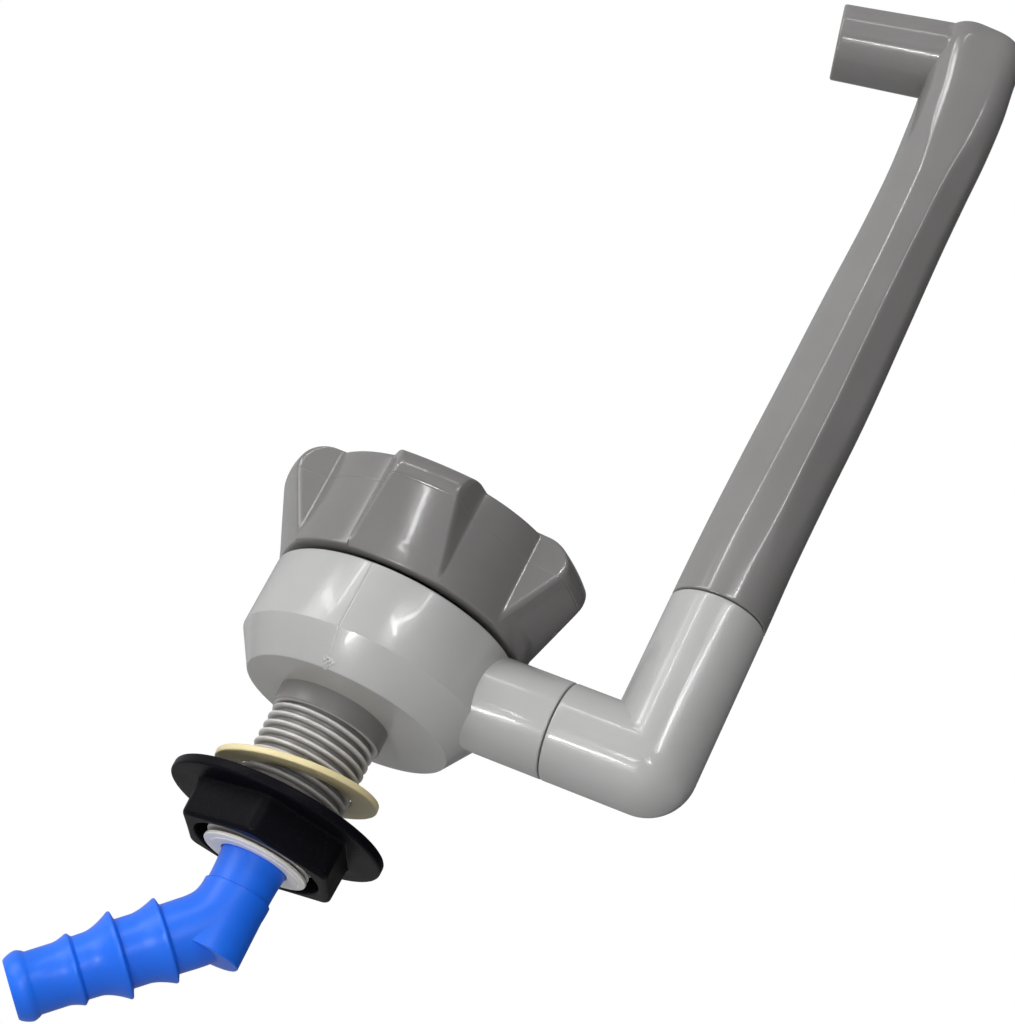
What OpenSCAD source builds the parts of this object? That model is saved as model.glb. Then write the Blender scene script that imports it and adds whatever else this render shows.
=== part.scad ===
// Single-inlet folding tap with a rotary knob, side outlet elbow and swivelling spout.
// Millimetres. Origin: the threaded tail's axis at the seat face, where the body rests
// on the worktop. +Z up out of the worktop, +X towards the outlet boss.

/* [Body] */
// Radius of the round body
body_r = 24.9; // [24:0.1:27]
// Radius of the base that rests on the worktop
base_r = 20.6; // [19:0.1:23]
// Height of the tapered base
taper_h = 6.8; // [4:0.1:9]
// Height of the body above the worktop
body_h = 20.7; // [20:0.1:24]
// Shift of the body and knob from the tail's axis towards the outlet
body_shift = 2.4; // [0:0.1:3]
// Chamfer round the body's top edge
body_chamfer = 0.6; // [0.2:0.1:1]
// Radius of the valve chamber in the body
chamber_r = 14; // [13:0.1:15]
// Height of the chamber's floor above the worktop
chamber_floor = 4.5; // [4:0.1:5]
// Radius of the port in the valve seat
port_r = 4; // [3:0.1:4.2]
// Height of the seat lip above the chamber's floor
lip_h = 1.3; // [0.8:0.1:1.6]
// Width of the seat lip
lip_w = 1.2; // [0.8:0.1:1.3]

/* [Outlet] */
// Outer radius of the boss and of both arms of the elbow
arm_r = 9.4; // [9:0.05:9.6]
// Height of the boss's axis above the worktop
boss_z = 12.2; // [11:0.1:12.2]
// Distance from the tail's axis to the seam between boss and elbow
boss_reach = 40.5; // [38:0.5:60]
// Distance from the tail's axis to the elbow's upright arm
corner_x = 58.1; // [54:0.5:80]
// Height from the boss's axis to the seam under the spout
upright_h = 32.4; // [28:0.1:50]
// Gap that shows at both turning seams
seam_gap = 0.3; // [0.2:0.05:0.6]
// Radius of the water passage
passage_r = 4; // [3:0.1:4.2]

/* [Turning joints] */
// Radius of the spigots that turn in the sockets
spigot_r = 6.5; // [6.2:0.05:6.8]
// Length of the spigots
spigot_len = 15.5; // [14:0.1:16.5]
// Running clearance on radius between spigot and socket
run_clear = 0.05; // [0.02:0.01:0.08]
// Free length behind a spigot in its socket
end_clear = 0.5; // [0.3:0.1:1]
// Thickness of the O-rings' section
oring_d = 1.2; // [1:0.1:1.4]
// Gap between an O-ring and the floor of its groove
oring_gap = 0.03; // [0.02:0.01:0.05]
// Extra width of an O-ring's groove
groove_play = 0.5; // [0.3:0.1:0.8]
// Distance from the seam to the first O-ring
oring_first = 4; // [3:0.1:4.5]
// Distance between two O-rings
oring_step = 3.6; // [3:0.1:4]
// Distance from the seam to the clip's middle
clip_at = 12.2; // [11.5:0.1:12.5]
// Thickness of the retaining clips
clip_t = 1; // [0.6:0.1:1.2]
// How far a clip stands out of its spigot
clip_out = 0.6; // [0.4:0.05:0.8]
// How far a clip reaches into its spigot
clip_in = 0.85; // [0.6:0.05:1]
// Clearance round a clip in the socket's groove
clip_clear = 0.3; // [0.25:0.05:0.4]
// Opening of a clip in degrees
clip_mouth = 50; // [30:5:90]

/* [Threaded tail] */
// Outside diameter of the thread
thread_d = 20.955; // [20.5:0.005:21.5]
// Pitch of the thread
thread_pitch = 1.8143; // [1.4:0.0001:2]
// Depth of the thread
thread_depth = 1.16; // [0.8:0.01:1.2]
// Radius of the smooth collar under the body
collar_r = 11; // [10.8:0.05:12.5]
// Height of the smooth collar
collar_h = 4.7; // [3:0.1:6]
// Height of the collar that sits in the body's underside
collar_sink = 0.4; // [0.2:0.05:0.8]
// Length of the tail below the worktop's top face
tail_len = 31.4; // [31:0.1:40]
// Radius of the tail's spigot in the body
tail_plug_r = 9; // [8.5:0.1:9.5]
// Height of the tail's spigot in the body
tail_plug_h = 3; // [2.5:0.1:3.2]
// Radius of the tail's upper bore
tail_bore_r = 5; // [4.5:0.1:5.5]
// Radius of the bore that the hose elbow turns in
stem_bore_r = 6.9; // [6.6:0.05:7.1]
// Radius of the chamber for the retaining ring
ring_bore_r = 8.2; // [8:0.05:8.3]
// Depth of the chamber for the retaining ring
ring_bore_h = 6; // [5.6:0.1:7]

/* [Clamp nut and washer] */
// Radius of the nut's flange
flange_r = 21.3; // [20:0.1:24]
// Thickness of the nut's flange
flange_t = 2; // [1.5:0.1:3]
// Distance from the worktop's top face down to the flange
nut_drop = 22.1; // [22:0.1:24]
// Radius across the corners of the nut's hexagon
nut_hex_r = 17; // [16.5:0.1:19]
// Height of the nut's hexagon
nut_hex_h = 7.4; // [6:0.1:8]
// Turn of the nut's hexagon in degrees
nut_turn = 39; // [0:1:59]
// Clearance on radius between nut and thread
nut_clear = 0.07; // [0.05:0.01:0.1]
// Radius of the hollow under the nut
nut_hollow_r = 12.6; // [12:0.1:13.2]
// Depth of the hollow under the nut
nut_hollow_h = 3.5; // [2:0.1:4.5]
// Chamfer at the hexagon's lower corners
nut_chamfer = 0.9; // [0.4:0.1:1.5]
// Outer radius of the clamp washer
washer_r = 15.8; // [15:0.1:19]
// Inner radius of the clamp washer
washer_bore_r = 11.2; // [11.1:0.05:11.4]
// Thickness of the clamp washer
washer_t = 1.3; // [1:0.1:2]
// Distance from the worktop's top face down to the washer's middle
washer_drop = 15.3; // [13:0.1:16]
// Tilt of the loose washer in degrees
washer_tilt = 7.7; // [0:0.1:8]
// Direction in which the washer's upper face leans, in degrees
washer_lean = -149; // [-180:1:180]

/* [Hose elbow] */
// Radius of the stem in the tail
stem_r = 6.85; // [6.5:0.05:6.85]
// Distance from the worktop's top face down to the stem's end
stem_top = 13; // [12.6:0.1:14]
// Distance from the worktop's top face down to the stem's first O-ring
stem_oring_drop = 17; // [16.5:0.1:18]
// Radius of the collar that holds the stem in
stem_collar_r = 7.8; // [7.6:0.05:7.9]
// Smallest radius of the neck
neck_r = 5.6; // [5.2:0.1:6.5]
// Length of the neck below the retaining ring
neck_h = 6.2; // [5:0.1:8]
// Radius of the upright stub
stub_r = 7.1; // [6.8:0.1:7.8]
// Length of the upright stub
stub_h = 12.4; // [11:0.1:16]
// Distance from the stub's top to the bend
bend_drop = 6; // [5:0.1:7]
// Bend of the hose tail from straight down, in degrees
hose_bend = 45; // [30:1:60]
// Turn of the hose elbow about the tail, in degrees
hose_turn = 15; // [-180:1:180]
// Distance from the bend to the hose tail's tip
tail_run = 38.3; // [36:0.1:48]
// Radius of the hose tail next to the bend
hose_root_r = 6.4; // [6:0.05:6.8]
// Radius of the hose tail near the tip
hose_tip_r = 5.7; // [5.4:0.05:5.9]
// Radius of the upright bore in the hose elbow
hose_bore_r = 4; // [3.8:0.1:4.2]
// Radius of the bore in the hose tail
tail_port_r = 3.6; // [3:0.1:3.7]
// Radius of the large barbs
barb_r = 7.9; // [7.2:0.05:8.2]
// Radius of the small barb
small_barb_r = 6.5; // [6.2:0.05:6.8]
// Radius of the bead at the tip
bead_r = 6.4; // [6.1:0.05:6.6]
// Distance from the bend to the first barb's crest
barb_first = 10.3; // [10:0.1:11]
// Distance between barb crests
barb_step = 8.15; // [7.5:0.05:8.5]
// Length of a large barb's slope
barb_slope = 4.6; // [3.5:0.1:5]
// Length of the small barb's slope
small_slope = 2.6; // [2:0.1:3]
// Length of the bead at the tip
bead_len = 2.9; // [2:0.1:3.2]
// Outer radius of the retaining ring's flange
ring_r = 10.3; // [9.8:0.05:10.4]
// Thickness of the retaining ring's flange
ring_t = 0.8; // [0.6:0.1:1.5]
// Height of the retaining ring's spigot
ring_plug_h = 4.3; // [3.8:0.1:4.3]

/* [Bonnet and spindle] */
// Height of the bonnet's flange
bonnet_flange_h = 3.5; // [3:0.1:4]
// Radius of the bonnet's barrel and neck
bonnet_r = 8.2; // [7.6:0.1:9]
// Height of the bonnet's neck above the body
neck_up = 4.6; // [4:0.1:5.5]
// Distance from the body's top down to the barrel's lower end
barrel_drop = 8.1; // [7.9:0.1:8.2]
// Height of the hexagonal bore above the body's top
hex_up = 1.2; // [1:0.1:1.6]
// Radius across the corners of the hexagonal bore
hex_bore_r = 6.2; // [6.1:0.05:6.6]
// Clearance on radius between the hexagons
hex_clear = 0.15; // [0.1:0.01:0.2]
// Radius of the spindle
spindle_r = 3; // [2.8:0.05:3.2]
// Radius of the spindle's shoulder
shoulder_r = 4.6; // [4:0.1:4.8]
// Thickness of the spindle's shoulder
shoulder_t = 1.4; // [1:0.1:1.6]
// Distance from the body's top down to the spindle's lower end
spindle_drop = 7.4; // [7.2:0.1:7.4]
// Height of the spindle above the bonnet's neck
spindle_up = 11.7; // [10:0.1:12]
// Length of the round stretch above the bonnet's neck
spindle_round = 2; // [1.8:0.1:2.4]
// Radius of the spindle clip
spindle_clip_r = 4.8; // [4.2:0.1:5.5]
// Thickness of the spindle clip
spindle_clip_t = 0.8; // [0.6:0.1:0.9]
// Radius of the core under the clip and O-ring grooves
spindle_core_r = 2.2; // [2:0.05:2.3]

/* [Plunger] */
// Gap between seat lip and seat washer with the tap shut
seat_gap = 0.1; // [0.05:0.01:0.3]
// Radius of the seat washer
seat_washer_r = 5.5; // [5.3:0.1:6]
// Thickness of the seat washer
seat_washer_t = 1.5; // [1.2:0.1:1.6]
// Thickness of the plunger's head
plunger_head_t = 1.8; // [1.6:0.1:1.8]
// Length of the plunger's hexagonal shank
plunger_hex_h = 7.2; // [6.5:0.1:7.3]
// Solid length between the screw and the spindle's bore
plunger_web = 0.6; // [0.5:0.1:0.8]
// Radius of the washer screw's shank
washer_screw_r = 1; // [0.8:0.1:1.2]
// Radius of the washer screw's head
washer_screw_head_r = 2.2; // [2:0.1:2.5]
// Thickness of the washer screw's head
washer_screw_head_t = 0.9; // [0.7:0.1:1]

/* [Knob] */
// Gap that shows between body and knob
knob_gap = 1.2; // [1.2:0.1:2]
// Radius of the knob's drum
knob_r = 26; // [25.8:0.1:27]
// Height of the knob
knob_h = 20.2; // [19.4:0.1:24]
// Chamfer on the drum's top edge
rim_chamfer = 0.8; // [0.4:0.1:1.2]
// Number of grip pads
pad_count = 5; // [4:1:6]
// Half width of a pad where it leaves the drum
pad_half_w = 9.1; // [7:0.1:9.6]
// Distance from the knob's axis to a pad's face at the lower edge
pad_low = 24.6; // [24.4:0.1:25.2]
// Flare of a pad's face in degrees
pad_flare = 24.6; // [20:0.2:27]
// Narrowing of a pad's side walls in degrees
pad_draft = 21.8; // [16:0.2:25]
// Radius of a pad's face across its width
pad_crown_r = 50; // [40:1:70]
// Rounding between a pad's face and the knob's top
pad_round = 4.7; // [3:0.1:5.2]
// Turn of the first pad in degrees
pad_turn = -83; // [-180:1:180]
// Thickness of the knob's skirt behind the pads
knob_wall = 2.4; // [2:0.1:2.8]
// Thickness of the knob's top
knob_top_t = 3.2; // [3:0.1:4]
// Radius of the knob's hub
hub_r = 6.5; // [5.5:0.1:8]
// Gap between the hub and the bonnet's neck
hub_gap = 2.2; // [2.1:0.1:2.6]
// Thickness of the ribs under the knob's top
rib_t = 1.6; // [1.2:0.1:2.4]
// Depth of the ribs under the knob's top
rib_h = 5; // [3:0.1:8]
// Radius of the knob cap
cap_r = 9; // [8:0.1:11]
// Thickness of the knob cap
cap_t = 1.2; // [1:0.1:1.4]
// Radius of the knob screw's shank
knob_screw_r = 1.25; // [1:0.05:1.4]
// Length of the knob screw's shank
knob_screw_len = 8; // [6:0.1:9]
// Radius of the knob screw's head
knob_screw_head_r = 2.8; // [2.4:0.1:3]
// Height of the knob screw's head
knob_screw_head_h = 1.7; // [1.4:0.1:1.7]
// Clearance round fitted parts inside the knob
fit_clear = 0.05; // [0.03:0.01:0.1]

/* [Spout] */
// Radius of the spout at its seam
spout_r = 9.4; // [9:0.05:9.8]
// Radius of the spout at its top corner
spout_top_r = 8.7; // [8.2:0.05:9]
// Step from the corner's ball down to the tubes that meet in it
corner_step = 0.1; // [0.05:0.05:0.3]
// Lean of the shaft away from the nozzle, in degrees
spout_lean = 0.5; // [0:0.1:1]
// Height from the worktop to where shaft and nozzle axes cross
spout_top = 182.2; // [140:0.5:240]
// Slope of the nozzle below level, in degrees
nozzle_slope = 12.7; // [0:0.1:20]
// Length of the nozzle from where the axes cross
nozzle_len = 30.2; // [28:0.1:50]
// Radius of the nozzle at its mouth
nozzle_r = 7.9; // [7.4:0.05:8.2]
// Radius of the nozzle's bore
nozzle_bore_r = 5.6; // [5.3:0.05:6]
// Length of the nozzle's bore
nozzle_bore_h = 14; // [10:0.1:15]
// Radius of the bore in the shaft
spout_bore_r = 5.2; // [4.9:0.05:5.3]
// Radius of the bore between shaft and nozzle
link_bore_r = 4.8; // [4:0.1:4.8]
// Distance from the axis to the side flat at the seam
flat_low = 9.15; // [9:0.05:9.4]
// Distance from the axis to the side flat at the top
flat_high = 8.25; // [8:0.05:8.6]
// Turn of the nozzle about the upright arm, in degrees
spout_turn = 8; // [-180:1:180]

/* [Hidden] */
$fn = 96;
cut = 1;
tangent_step = 0.1;
seam_z = boss_z + upright_h;
socket_r = spigot_r + run_clear;
socket_depth = spigot_len + end_clear;
groove_r = socket_r - run_clear / 2 - oring_d - oring_gap;
thread_r = thread_d / 2;
core_r = thread_r - thread_depth;
turns = floor((tail_len - collar_h - thread_pitch / 2) / thread_pitch);
lip_top = chamber_floor + lip_h;
barrel_z = body_h - barrel_drop;
hex_top = body_h + hex_up;
bonnet_top = body_h + neck_up;
spindle_low = body_h - spindle_drop;
spindle_top = bonnet_top + spindle_up;
washer_low = lip_top + seat_gap;
head_low = washer_low + seat_washer_t;
head_top = head_low + plunger_head_t;
knob_low = body_h + knob_gap;
knob_top = knob_low + knob_h;
hub_low = bonnet_top + hub_gap;
cavity_r = pad_low - knob_wall;
neck_low = tail_len + ring_t + neck_h;
bend_z = neck_low + bend_drop;
ring_plug_top = tail_len - ring_plug_h;
shaft_h = spout_top - seam_z;
light_grey = [0.74, 0.74, 0.75];
dark_grey = [0.46, 0.45, 0.44];
mid_grey = [0.56, 0.55, 0.53];
ring_grey = [0.82, 0.82, 0.82];
ivory = [0.94, 0.90, 0.78];
black = [0.09, 0.09, 0.11];
blue = [0.13, 0.40, 0.92];
rubber = [0.06, 0.06, 0.06];
steel = [0.72, 0.73, 0.75];
brass = [0.80, 0.66, 0.36];
white = [0.90, 0.90, 0.88];

// Places a piece on the knob's axis.
module on_knob_axis() translate([body_shift, 0, 0]) children();

// Places a piece at the boss seam with +Z pointing into the boss.
module at_boss_seam() translate([boss_reach, 0, boss_z]) rotate([0, -90, 0]) children();

// Places a piece at the spout seam with +Z pointing down into the elbow.
module at_spout_seam() translate([corner_x, 0, seam_z]) rotate([180, 0, 0]) children();

// A ring of square section, used for cutting grooves.
module ring_cut(inner, outer, height) {
    difference() {
        cylinder(h = height, r = outer);
        translate([0, 0, -cut]) cylinder(h = height + 2 * cut, r = inner);
    }
}

// An O-ring of round section between two radii.
module oring(inner, section) {
    rotate_extrude() translate([inner + section / 2, 0]) circle(d = section, $fn = 32);
}

// Turning spigot with two O-ring grooves and a clip groove, seam at z = 0.
module spigot() {
    groove_h = oring_d + groove_play;
    difference() {
        translate([0, 0, -cut]) cylinder(h = spigot_len + cut, r = spigot_r);
        for (i = [0:1]) {
            translate([0, 0, oring_first + i * oring_step - groove_h / 2])
                ring_cut(groove_r, spigot_r + cut, groove_h);
        }
        translate([0, 0, clip_at - clip_t / 2 - run_clear])
            ring_cut(spigot_r - clip_in, spigot_r + cut, clip_t + 2 * run_clear);
    }
}

// Hollow that a turning spigot fits, seam at z = 0.
module socket_cut() {
    groove_h = clip_t + 2 * clip_clear;
    translate([0, 0, -cut]) cylinder(h = socket_depth + cut, r = socket_r);
    translate([0, 0, clip_at - groove_h / 2])
        cylinder(h = groove_h, r = spigot_r + clip_out + clip_clear);
}

// The two O-rings of a turning spigot.
module spigot_orings() {
    for (i = [0:1]) {
        translate([0, 0, oring_first + i * oring_step]) oring(groove_r + oring_gap, oring_d);
    }
}

// The open retaining clip of a turning spigot.
module spigot_clip() {
    inner = spigot_r - clip_in + run_clear;
    translate([0, 0, clip_at - clip_t / 2])
        rotate([0, 0, clip_mouth / 2])
            rotate_extrude(angle = 360 - clip_mouth)
                translate([inner, 0]) square([spigot_r + clip_out - inner, clip_t]);
}

// Round body with tapered base, side outlet boss, valve chamber and seat.
module body() {
    color(light_grey) {
        difference() {
            union() {
                on_knob_axis() rotate_extrude() polygon([
                    [0, 0], [base_r, 0], [body_r, taper_h], [body_r, body_h - body_chamfer],
                    [body_r - body_chamfer, body_h], [0, body_h]
                ]);
                translate([body_shift, 0, boss_z]) rotate([0, 90, 0])
                    cylinder(h = boss_reach - seam_gap / 2 - body_shift, r = arm_r);
            }
            on_knob_axis() translate([0, 0, chamber_floor])
                cylinder(h = body_h + 2 * arm_r, r = chamber_r);
            on_knob_axis() cylinder(h = chamber_floor + cut, r = port_r);
            translate([0, 0, -cut]) cylinder(h = tail_plug_h + cut, r = tail_plug_r);
            translate([0, 0, -cut]) cylinder(h = collar_sink + cut, r = collar_r + fit_clear);
            translate([body_shift, 0, boss_z]) rotate([0, 90, 0])
                cylinder(h = boss_reach - body_shift, r = passage_r);
            at_boss_seam() socket_cut();
        }
        on_knob_axis() translate([0, 0, chamber_floor]) difference() {
            cylinder(h = lip_h, r = port_r + lip_w);
            translate([0, 0, -cut]) cylinder(h = lip_h + 2 * cut, r = port_r);
        }
    }
}

// Threaded tail with a smooth collar and a plug that is fixed in the body.
module threaded_tail() {
    crest = thread_pitch / 6;
    flank = (thread_pitch - 2 * crest) / 2;
    first = collar_h + thread_pitch / 2;
    profile = concat(
        [[0, tail_plug_h], [tail_plug_r, tail_plug_h], [tail_plug_r, collar_sink]],
        [[collar_r, collar_sink], [collar_r, -collar_h], [core_r, -collar_h]],
        [for (i = [0:turns - 1], k = [0:3])
            [k == 0 || k == 3 ? core_r : thread_r,
             -first - i * thread_pitch - [0, flank, flank + crest, 2 * flank + crest][k]]],
        [[core_r, -tail_len], [0, -tail_len]]
    );
    color(mid_grey) difference() {
        rotate_extrude() polygon(profile);
        translate([0, 0, -tail_len - cut]) {
            cylinder(h = tail_len + tail_plug_h + 2 * cut, r = tail_bore_r);
            cylinder(h = tail_len + cut - stem_top + end_clear, r = stem_bore_r);
            cylinder(h = ring_bore_h + cut, r = ring_bore_r);
        }
    }
}

// Bonnet that closes the chamber and guides the spindle and plunger.
module bonnet() {
    groove_h = oring_d + groove_play;
    color(white) on_knob_axis() difference() {
        union() {
            translate([0, 0, body_h - bonnet_flange_h])
                cylinder(h = bonnet_flange_h, r = chamber_r - fit_clear);
            translate([0, 0, barrel_z]) cylinder(h = bonnet_top - barrel_z, r = bonnet_r);
        }
        translate([0, 0, barrel_z - cut])
            cylinder(h = hex_top - barrel_z + cut, r = hex_bore_r, $fn = 6);
        translate([0, 0, barrel_z]) cylinder(h = bonnet_top, r = spindle_r + run_clear);
        translate([0, 0, body_h - bonnet_flange_h / 2 - groove_h / 2])
            ring_cut(chamber_r - fit_clear - oring_d - oring_gap, chamber_r + cut, groove_h);
    }
}

// Seal round the bonnet's flange.
module bonnet_oring() {
    color(rubber) on_knob_axis() translate([0, 0, body_h - bonnet_flange_h / 2])
        oring(chamber_r - fit_clear - oring_d, oring_d);
}

// Spindle with a square drive for the knob, a shoulder and a screw end for the plunger.
module spindle() {
    seal_h = oring_d + groove_play;
    color(brass) on_knob_axis() difference() {
        union() {
            translate([0, 0, spindle_low])
                cylinder(h = bonnet_top + spindle_round - spindle_low, r = spindle_r);
            translate([0, 0, hex_top - fit_clear - shoulder_t]) cylinder(h = shoulder_t, r = shoulder_r);
            translate([0, 0, bonnet_top])
                cylinder(h = spindle_up, r = spindle_r, $fn = 4);
        }
        translate([0, 0, (hex_top + bonnet_top) / 2 - seal_h / 2])
            ring_cut(spindle_core_r - oring_gap, spindle_r + cut, seal_h);
        translate([0, 0, bonnet_top + fit_clear])
            ring_cut(spindle_core_r, spindle_r + cut, spindle_clip_t + 2 * fit_clear);
        translate([0, 0, spindle_top - knob_screw_len])
            cylinder(h = knob_screw_len + cut, r = knob_screw_r);
    }
}

// Seal on the spindle inside the bonnet.
module spindle_oring() {
    section = spindle_r + run_clear / 2 - spindle_core_r;
    color(rubber) on_knob_axis() translate([0, 0, (hex_top + bonnet_top) / 2])
        oring(spindle_core_r, section);
}

// Open clip that keeps the spindle in the bonnet.
module spindle_clip() {
    color(steel) on_knob_axis() translate([0, 0, bonnet_top + 2 * fit_clear])
        rotate([0, 0, clip_mouth / 2]) rotate_extrude(angle = 360 - clip_mouth)
            translate([spindle_core_r + fit_clear / 2, 0])
                square([spindle_clip_r - spindle_core_r - fit_clear / 2, spindle_clip_t]);
}

// Body that a pad's crowned and flared face bounds, revolved about an axis behind the knob.
module pad_bound() {
    set_back = pad_crown_r - pad_low;
    centre_z = knob_h + tangent_step - pad_round;
    centre_a = pad_crown_r + centre_z * tan(pad_flare) - pad_round / cos(pad_flare);
    touch = [centre_a + pad_round * cos(pad_flare), centre_z - pad_round * sin(pad_flare)];
    foot_a = pad_crown_r - cut * tan(pad_flare);
    translate([-set_back, 0, 0]) rotate_extrude() union() {
        polygon([[0, -cut], [foot_a, -cut], touch, [centre_a, centre_z],
                 [centre_a, centre_z + pad_round], [0, centre_z + pad_round]]);
        translate([centre_a, centre_z]) circle(r = pad_round, $fn = 48);
    }
}

// Plan of a pad, narrower outwards, taller than the knob at both ends.
module pad_block() {
    reach = pad_low + knob_h * tan(pad_flare);
    inner_a = hub_r + knob_wall;
    slope = tan(pad_draft);
    root_a = sqrt(knob_r * knob_r - pad_half_w * pad_half_w);
    inner_w = pad_half_w / 2;
    outer_w = pad_half_w - (reach - root_a) * slope;
    root_in_a = root_a - knob_wall / 2;
    root_in_w = pad_half_w + slope * knob_wall / 2;
    translate([0, 0, -rim_chamfer]) linear_extrude(knob_h + 2 * rim_chamfer) polygon([
        [inner_a, -inner_w], [root_in_a, -root_in_w], [reach, -outer_w],
        [reach, outer_w], [root_in_a, root_in_w], [inner_a, inner_w]
    ]);
}

// Drum with its grip pads, before it is hollowed, cut level at both ends.
module knob_form() {
    intersection_for(i = [-2:pad_count - 1]) {
        if (i == -2) {
            cylinder(h = knob_h, r = knob_r + knob_h);
        } else if (i == -1) {
            union() {
                rotate_extrude() polygon([
                    [0, -2 * rim_chamfer], [knob_r, -2 * rim_chamfer],
                    [knob_r, knob_h - rim_chamfer],
                    [knob_r - 3 * rim_chamfer, knob_h + 2 * rim_chamfer],
                    [0, knob_h + 2 * rim_chamfer]
                ]);
                for (k = [0:pad_count - 1])
                    rotate([0, 0, pad_turn + k * 360 / pad_count]) pad_block();
            }
        } else {
            rotate([0, 0, pad_turn + i * 360 / pad_count]) pad_bound();
        }
    }
}

// Knob with grip pads, a hub, a square drive and ribs.
module knob() {
    inside_h = knob_h - knob_top_t;
    color(dark_grey) on_knob_axis() difference() {
        union() {
            translate([0, 0, knob_low]) difference() {
                knob_form();
                translate([0, 0, -cut]) cylinder(h = inside_h + cut, r = cavity_r);
            }
            translate([0, 0, hub_low]) cylinder(h = knob_top - cut - hub_low, r = hub_r);
            translate([0, 0, knob_low + inside_h - rib_h]) for (i = [0:pad_count - 1]) {
                rotate([0, 0, pad_turn + i * 360 / pad_count])
                    translate([0, -rib_t / 2, 0]) cube([cavity_r + knob_wall / 2, rib_t, rib_h + cut]);
            }
        }
        translate([0, 0, hub_low - cut])
            cylinder(h = spindle_top + fit_clear - hub_low + cut, r = spindle_r + fit_clear, $fn = 4);
        translate([0, 0, spindle_top]) cylinder(h = knob_top, r = knob_screw_r + fit_clear);
        translate([0, 0, knob_top - cap_t - knob_screw_head_h - fit_clear])
            cylinder(h = knob_top, r = knob_screw_head_r + fit_clear);
        translate([0, 0, knob_top - cap_t]) cylinder(h = cap_t + cut, r = cap_r);
    }
}

// Screw that holds the knob on the spindle.
module knob_screw() {
    seat = knob_top - cap_t - knob_screw_head_h - fit_clear;
    color(steel) on_knob_axis() {
        translate([0, 0, spindle_top - knob_screw_len + fit_clear])
            cylinder(h = seat - spindle_top + knob_screw_len, r = knob_screw_r);
        translate([0, 0, seat]) difference() {
            cylinder(h = knob_screw_head_h, r = knob_screw_head_r);
            translate([0, 0, knob_screw_head_h / 2])
                for (turn = [0, 90]) rotate([0, 0, turn])
                    translate([-knob_screw_r, -knob_screw_r / 4, 0])
                        cube([2 * knob_screw_r, knob_screw_r / 2, knob_screw_head_h]);
        }
    }
}

// Flat cap that covers the knob's screw.
module knob_cap() {
    color(dark_grey) on_knob_axis() translate([0, 0, knob_top - cap_t])
        cylinder(h = cap_t, r = cap_r - fit_clear);
}

// Plunger that slides in the bonnet's hexagonal bore.
module plunger() {
    shank = head_top + plunger_hex_h;
    screw_end = head_top - plunger_web;
    color(white) on_knob_axis() difference() {
        union() {
            translate([0, 0, head_low]) cylinder(h = plunger_head_t, r = seat_washer_r);
            translate([0, 0, head_low])
                cylinder(h = shank - head_low, r = hex_bore_r - hex_clear, $fn = 6);
        }
        translate([0, 0, head_top + plunger_web]) cylinder(h = shank, r = spindle_r + run_clear);
        translate([0, 0, head_low - cut]) cylinder(h = screw_end - head_low + cut, r = washer_screw_r);
    }
}

// Rubber washer that closes the port.
module seat_washer() {
    color(rubber) on_knob_axis() translate([0, 0, washer_low]) difference() {
        cylinder(h = seat_washer_t, r = seat_washer_r - fit_clear);
        translate([0, 0, -cut]) cylinder(h = seat_washer_t + 2 * cut, r = washer_screw_r + fit_clear);
    }
}

// Screw that holds the seat washer on the plunger.
module washer_screw() {
    color(steel) on_knob_axis() {
        translate([0, 0, washer_low])
            cylinder(h = head_top - plunger_web - washer_low - fit_clear, r = washer_screw_r);
        translate([0, 0, washer_low - washer_screw_head_t])
            cylinder(h = washer_screw_head_t, r = washer_screw_head_r);
    }
}

// Elbow with a spigot for the boss and a socket for the spout.
module elbow() {
    color(light_grey) difference() {
        union() {
            translate([boss_reach + seam_gap / 2, 0, boss_z]) rotate([0, 90, 0])
                cylinder(h = corner_x - boss_reach - seam_gap / 2, r = arm_r);
            translate([corner_x, 0, boss_z]) sphere(r = arm_r);
            translate([corner_x, 0, boss_z]) cylinder(h = upright_h - seam_gap / 2, r = arm_r);
            at_boss_seam() spigot();
        }
        translate([boss_reach - spigot_len - cut, 0, boss_z]) rotate([0, 90, 0])
            cylinder(h = corner_x - boss_reach + spigot_len + cut, r = passage_r);
        translate([corner_x, 0, boss_z]) sphere(r = passage_r);
        translate([corner_x, 0, boss_z]) cylinder(h = upright_h, r = passage_r);
        at_spout_seam() socket_cut();
    }
}

// Seals between boss and elbow.
module elbow_orings() {
    color(rubber) at_boss_seam() spigot_orings();
}

// Clip that keeps the elbow in the boss.
module elbow_clip() {
    color(steel) at_boss_seam() spigot_clip();
}

// Shaft, round corner and nozzle of the spout, nozzle towards -X.
module spout_form(foot_r, corner_r, mouth_r) {
    root_r = corner_r - corner_step;
    translate([0, 0, seam_z]) cylinder(h = shaft_h, r1 = foot_r, r2 = root_r);
    translate([0, 0, spout_top]) sphere(r = corner_r);
    translate([0, 0, spout_top]) rotate([0, -90 - nozzle_slope, 0])
        cylinder(h = nozzle_len, r1 = root_r, r2 = mouth_r);
}

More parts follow.
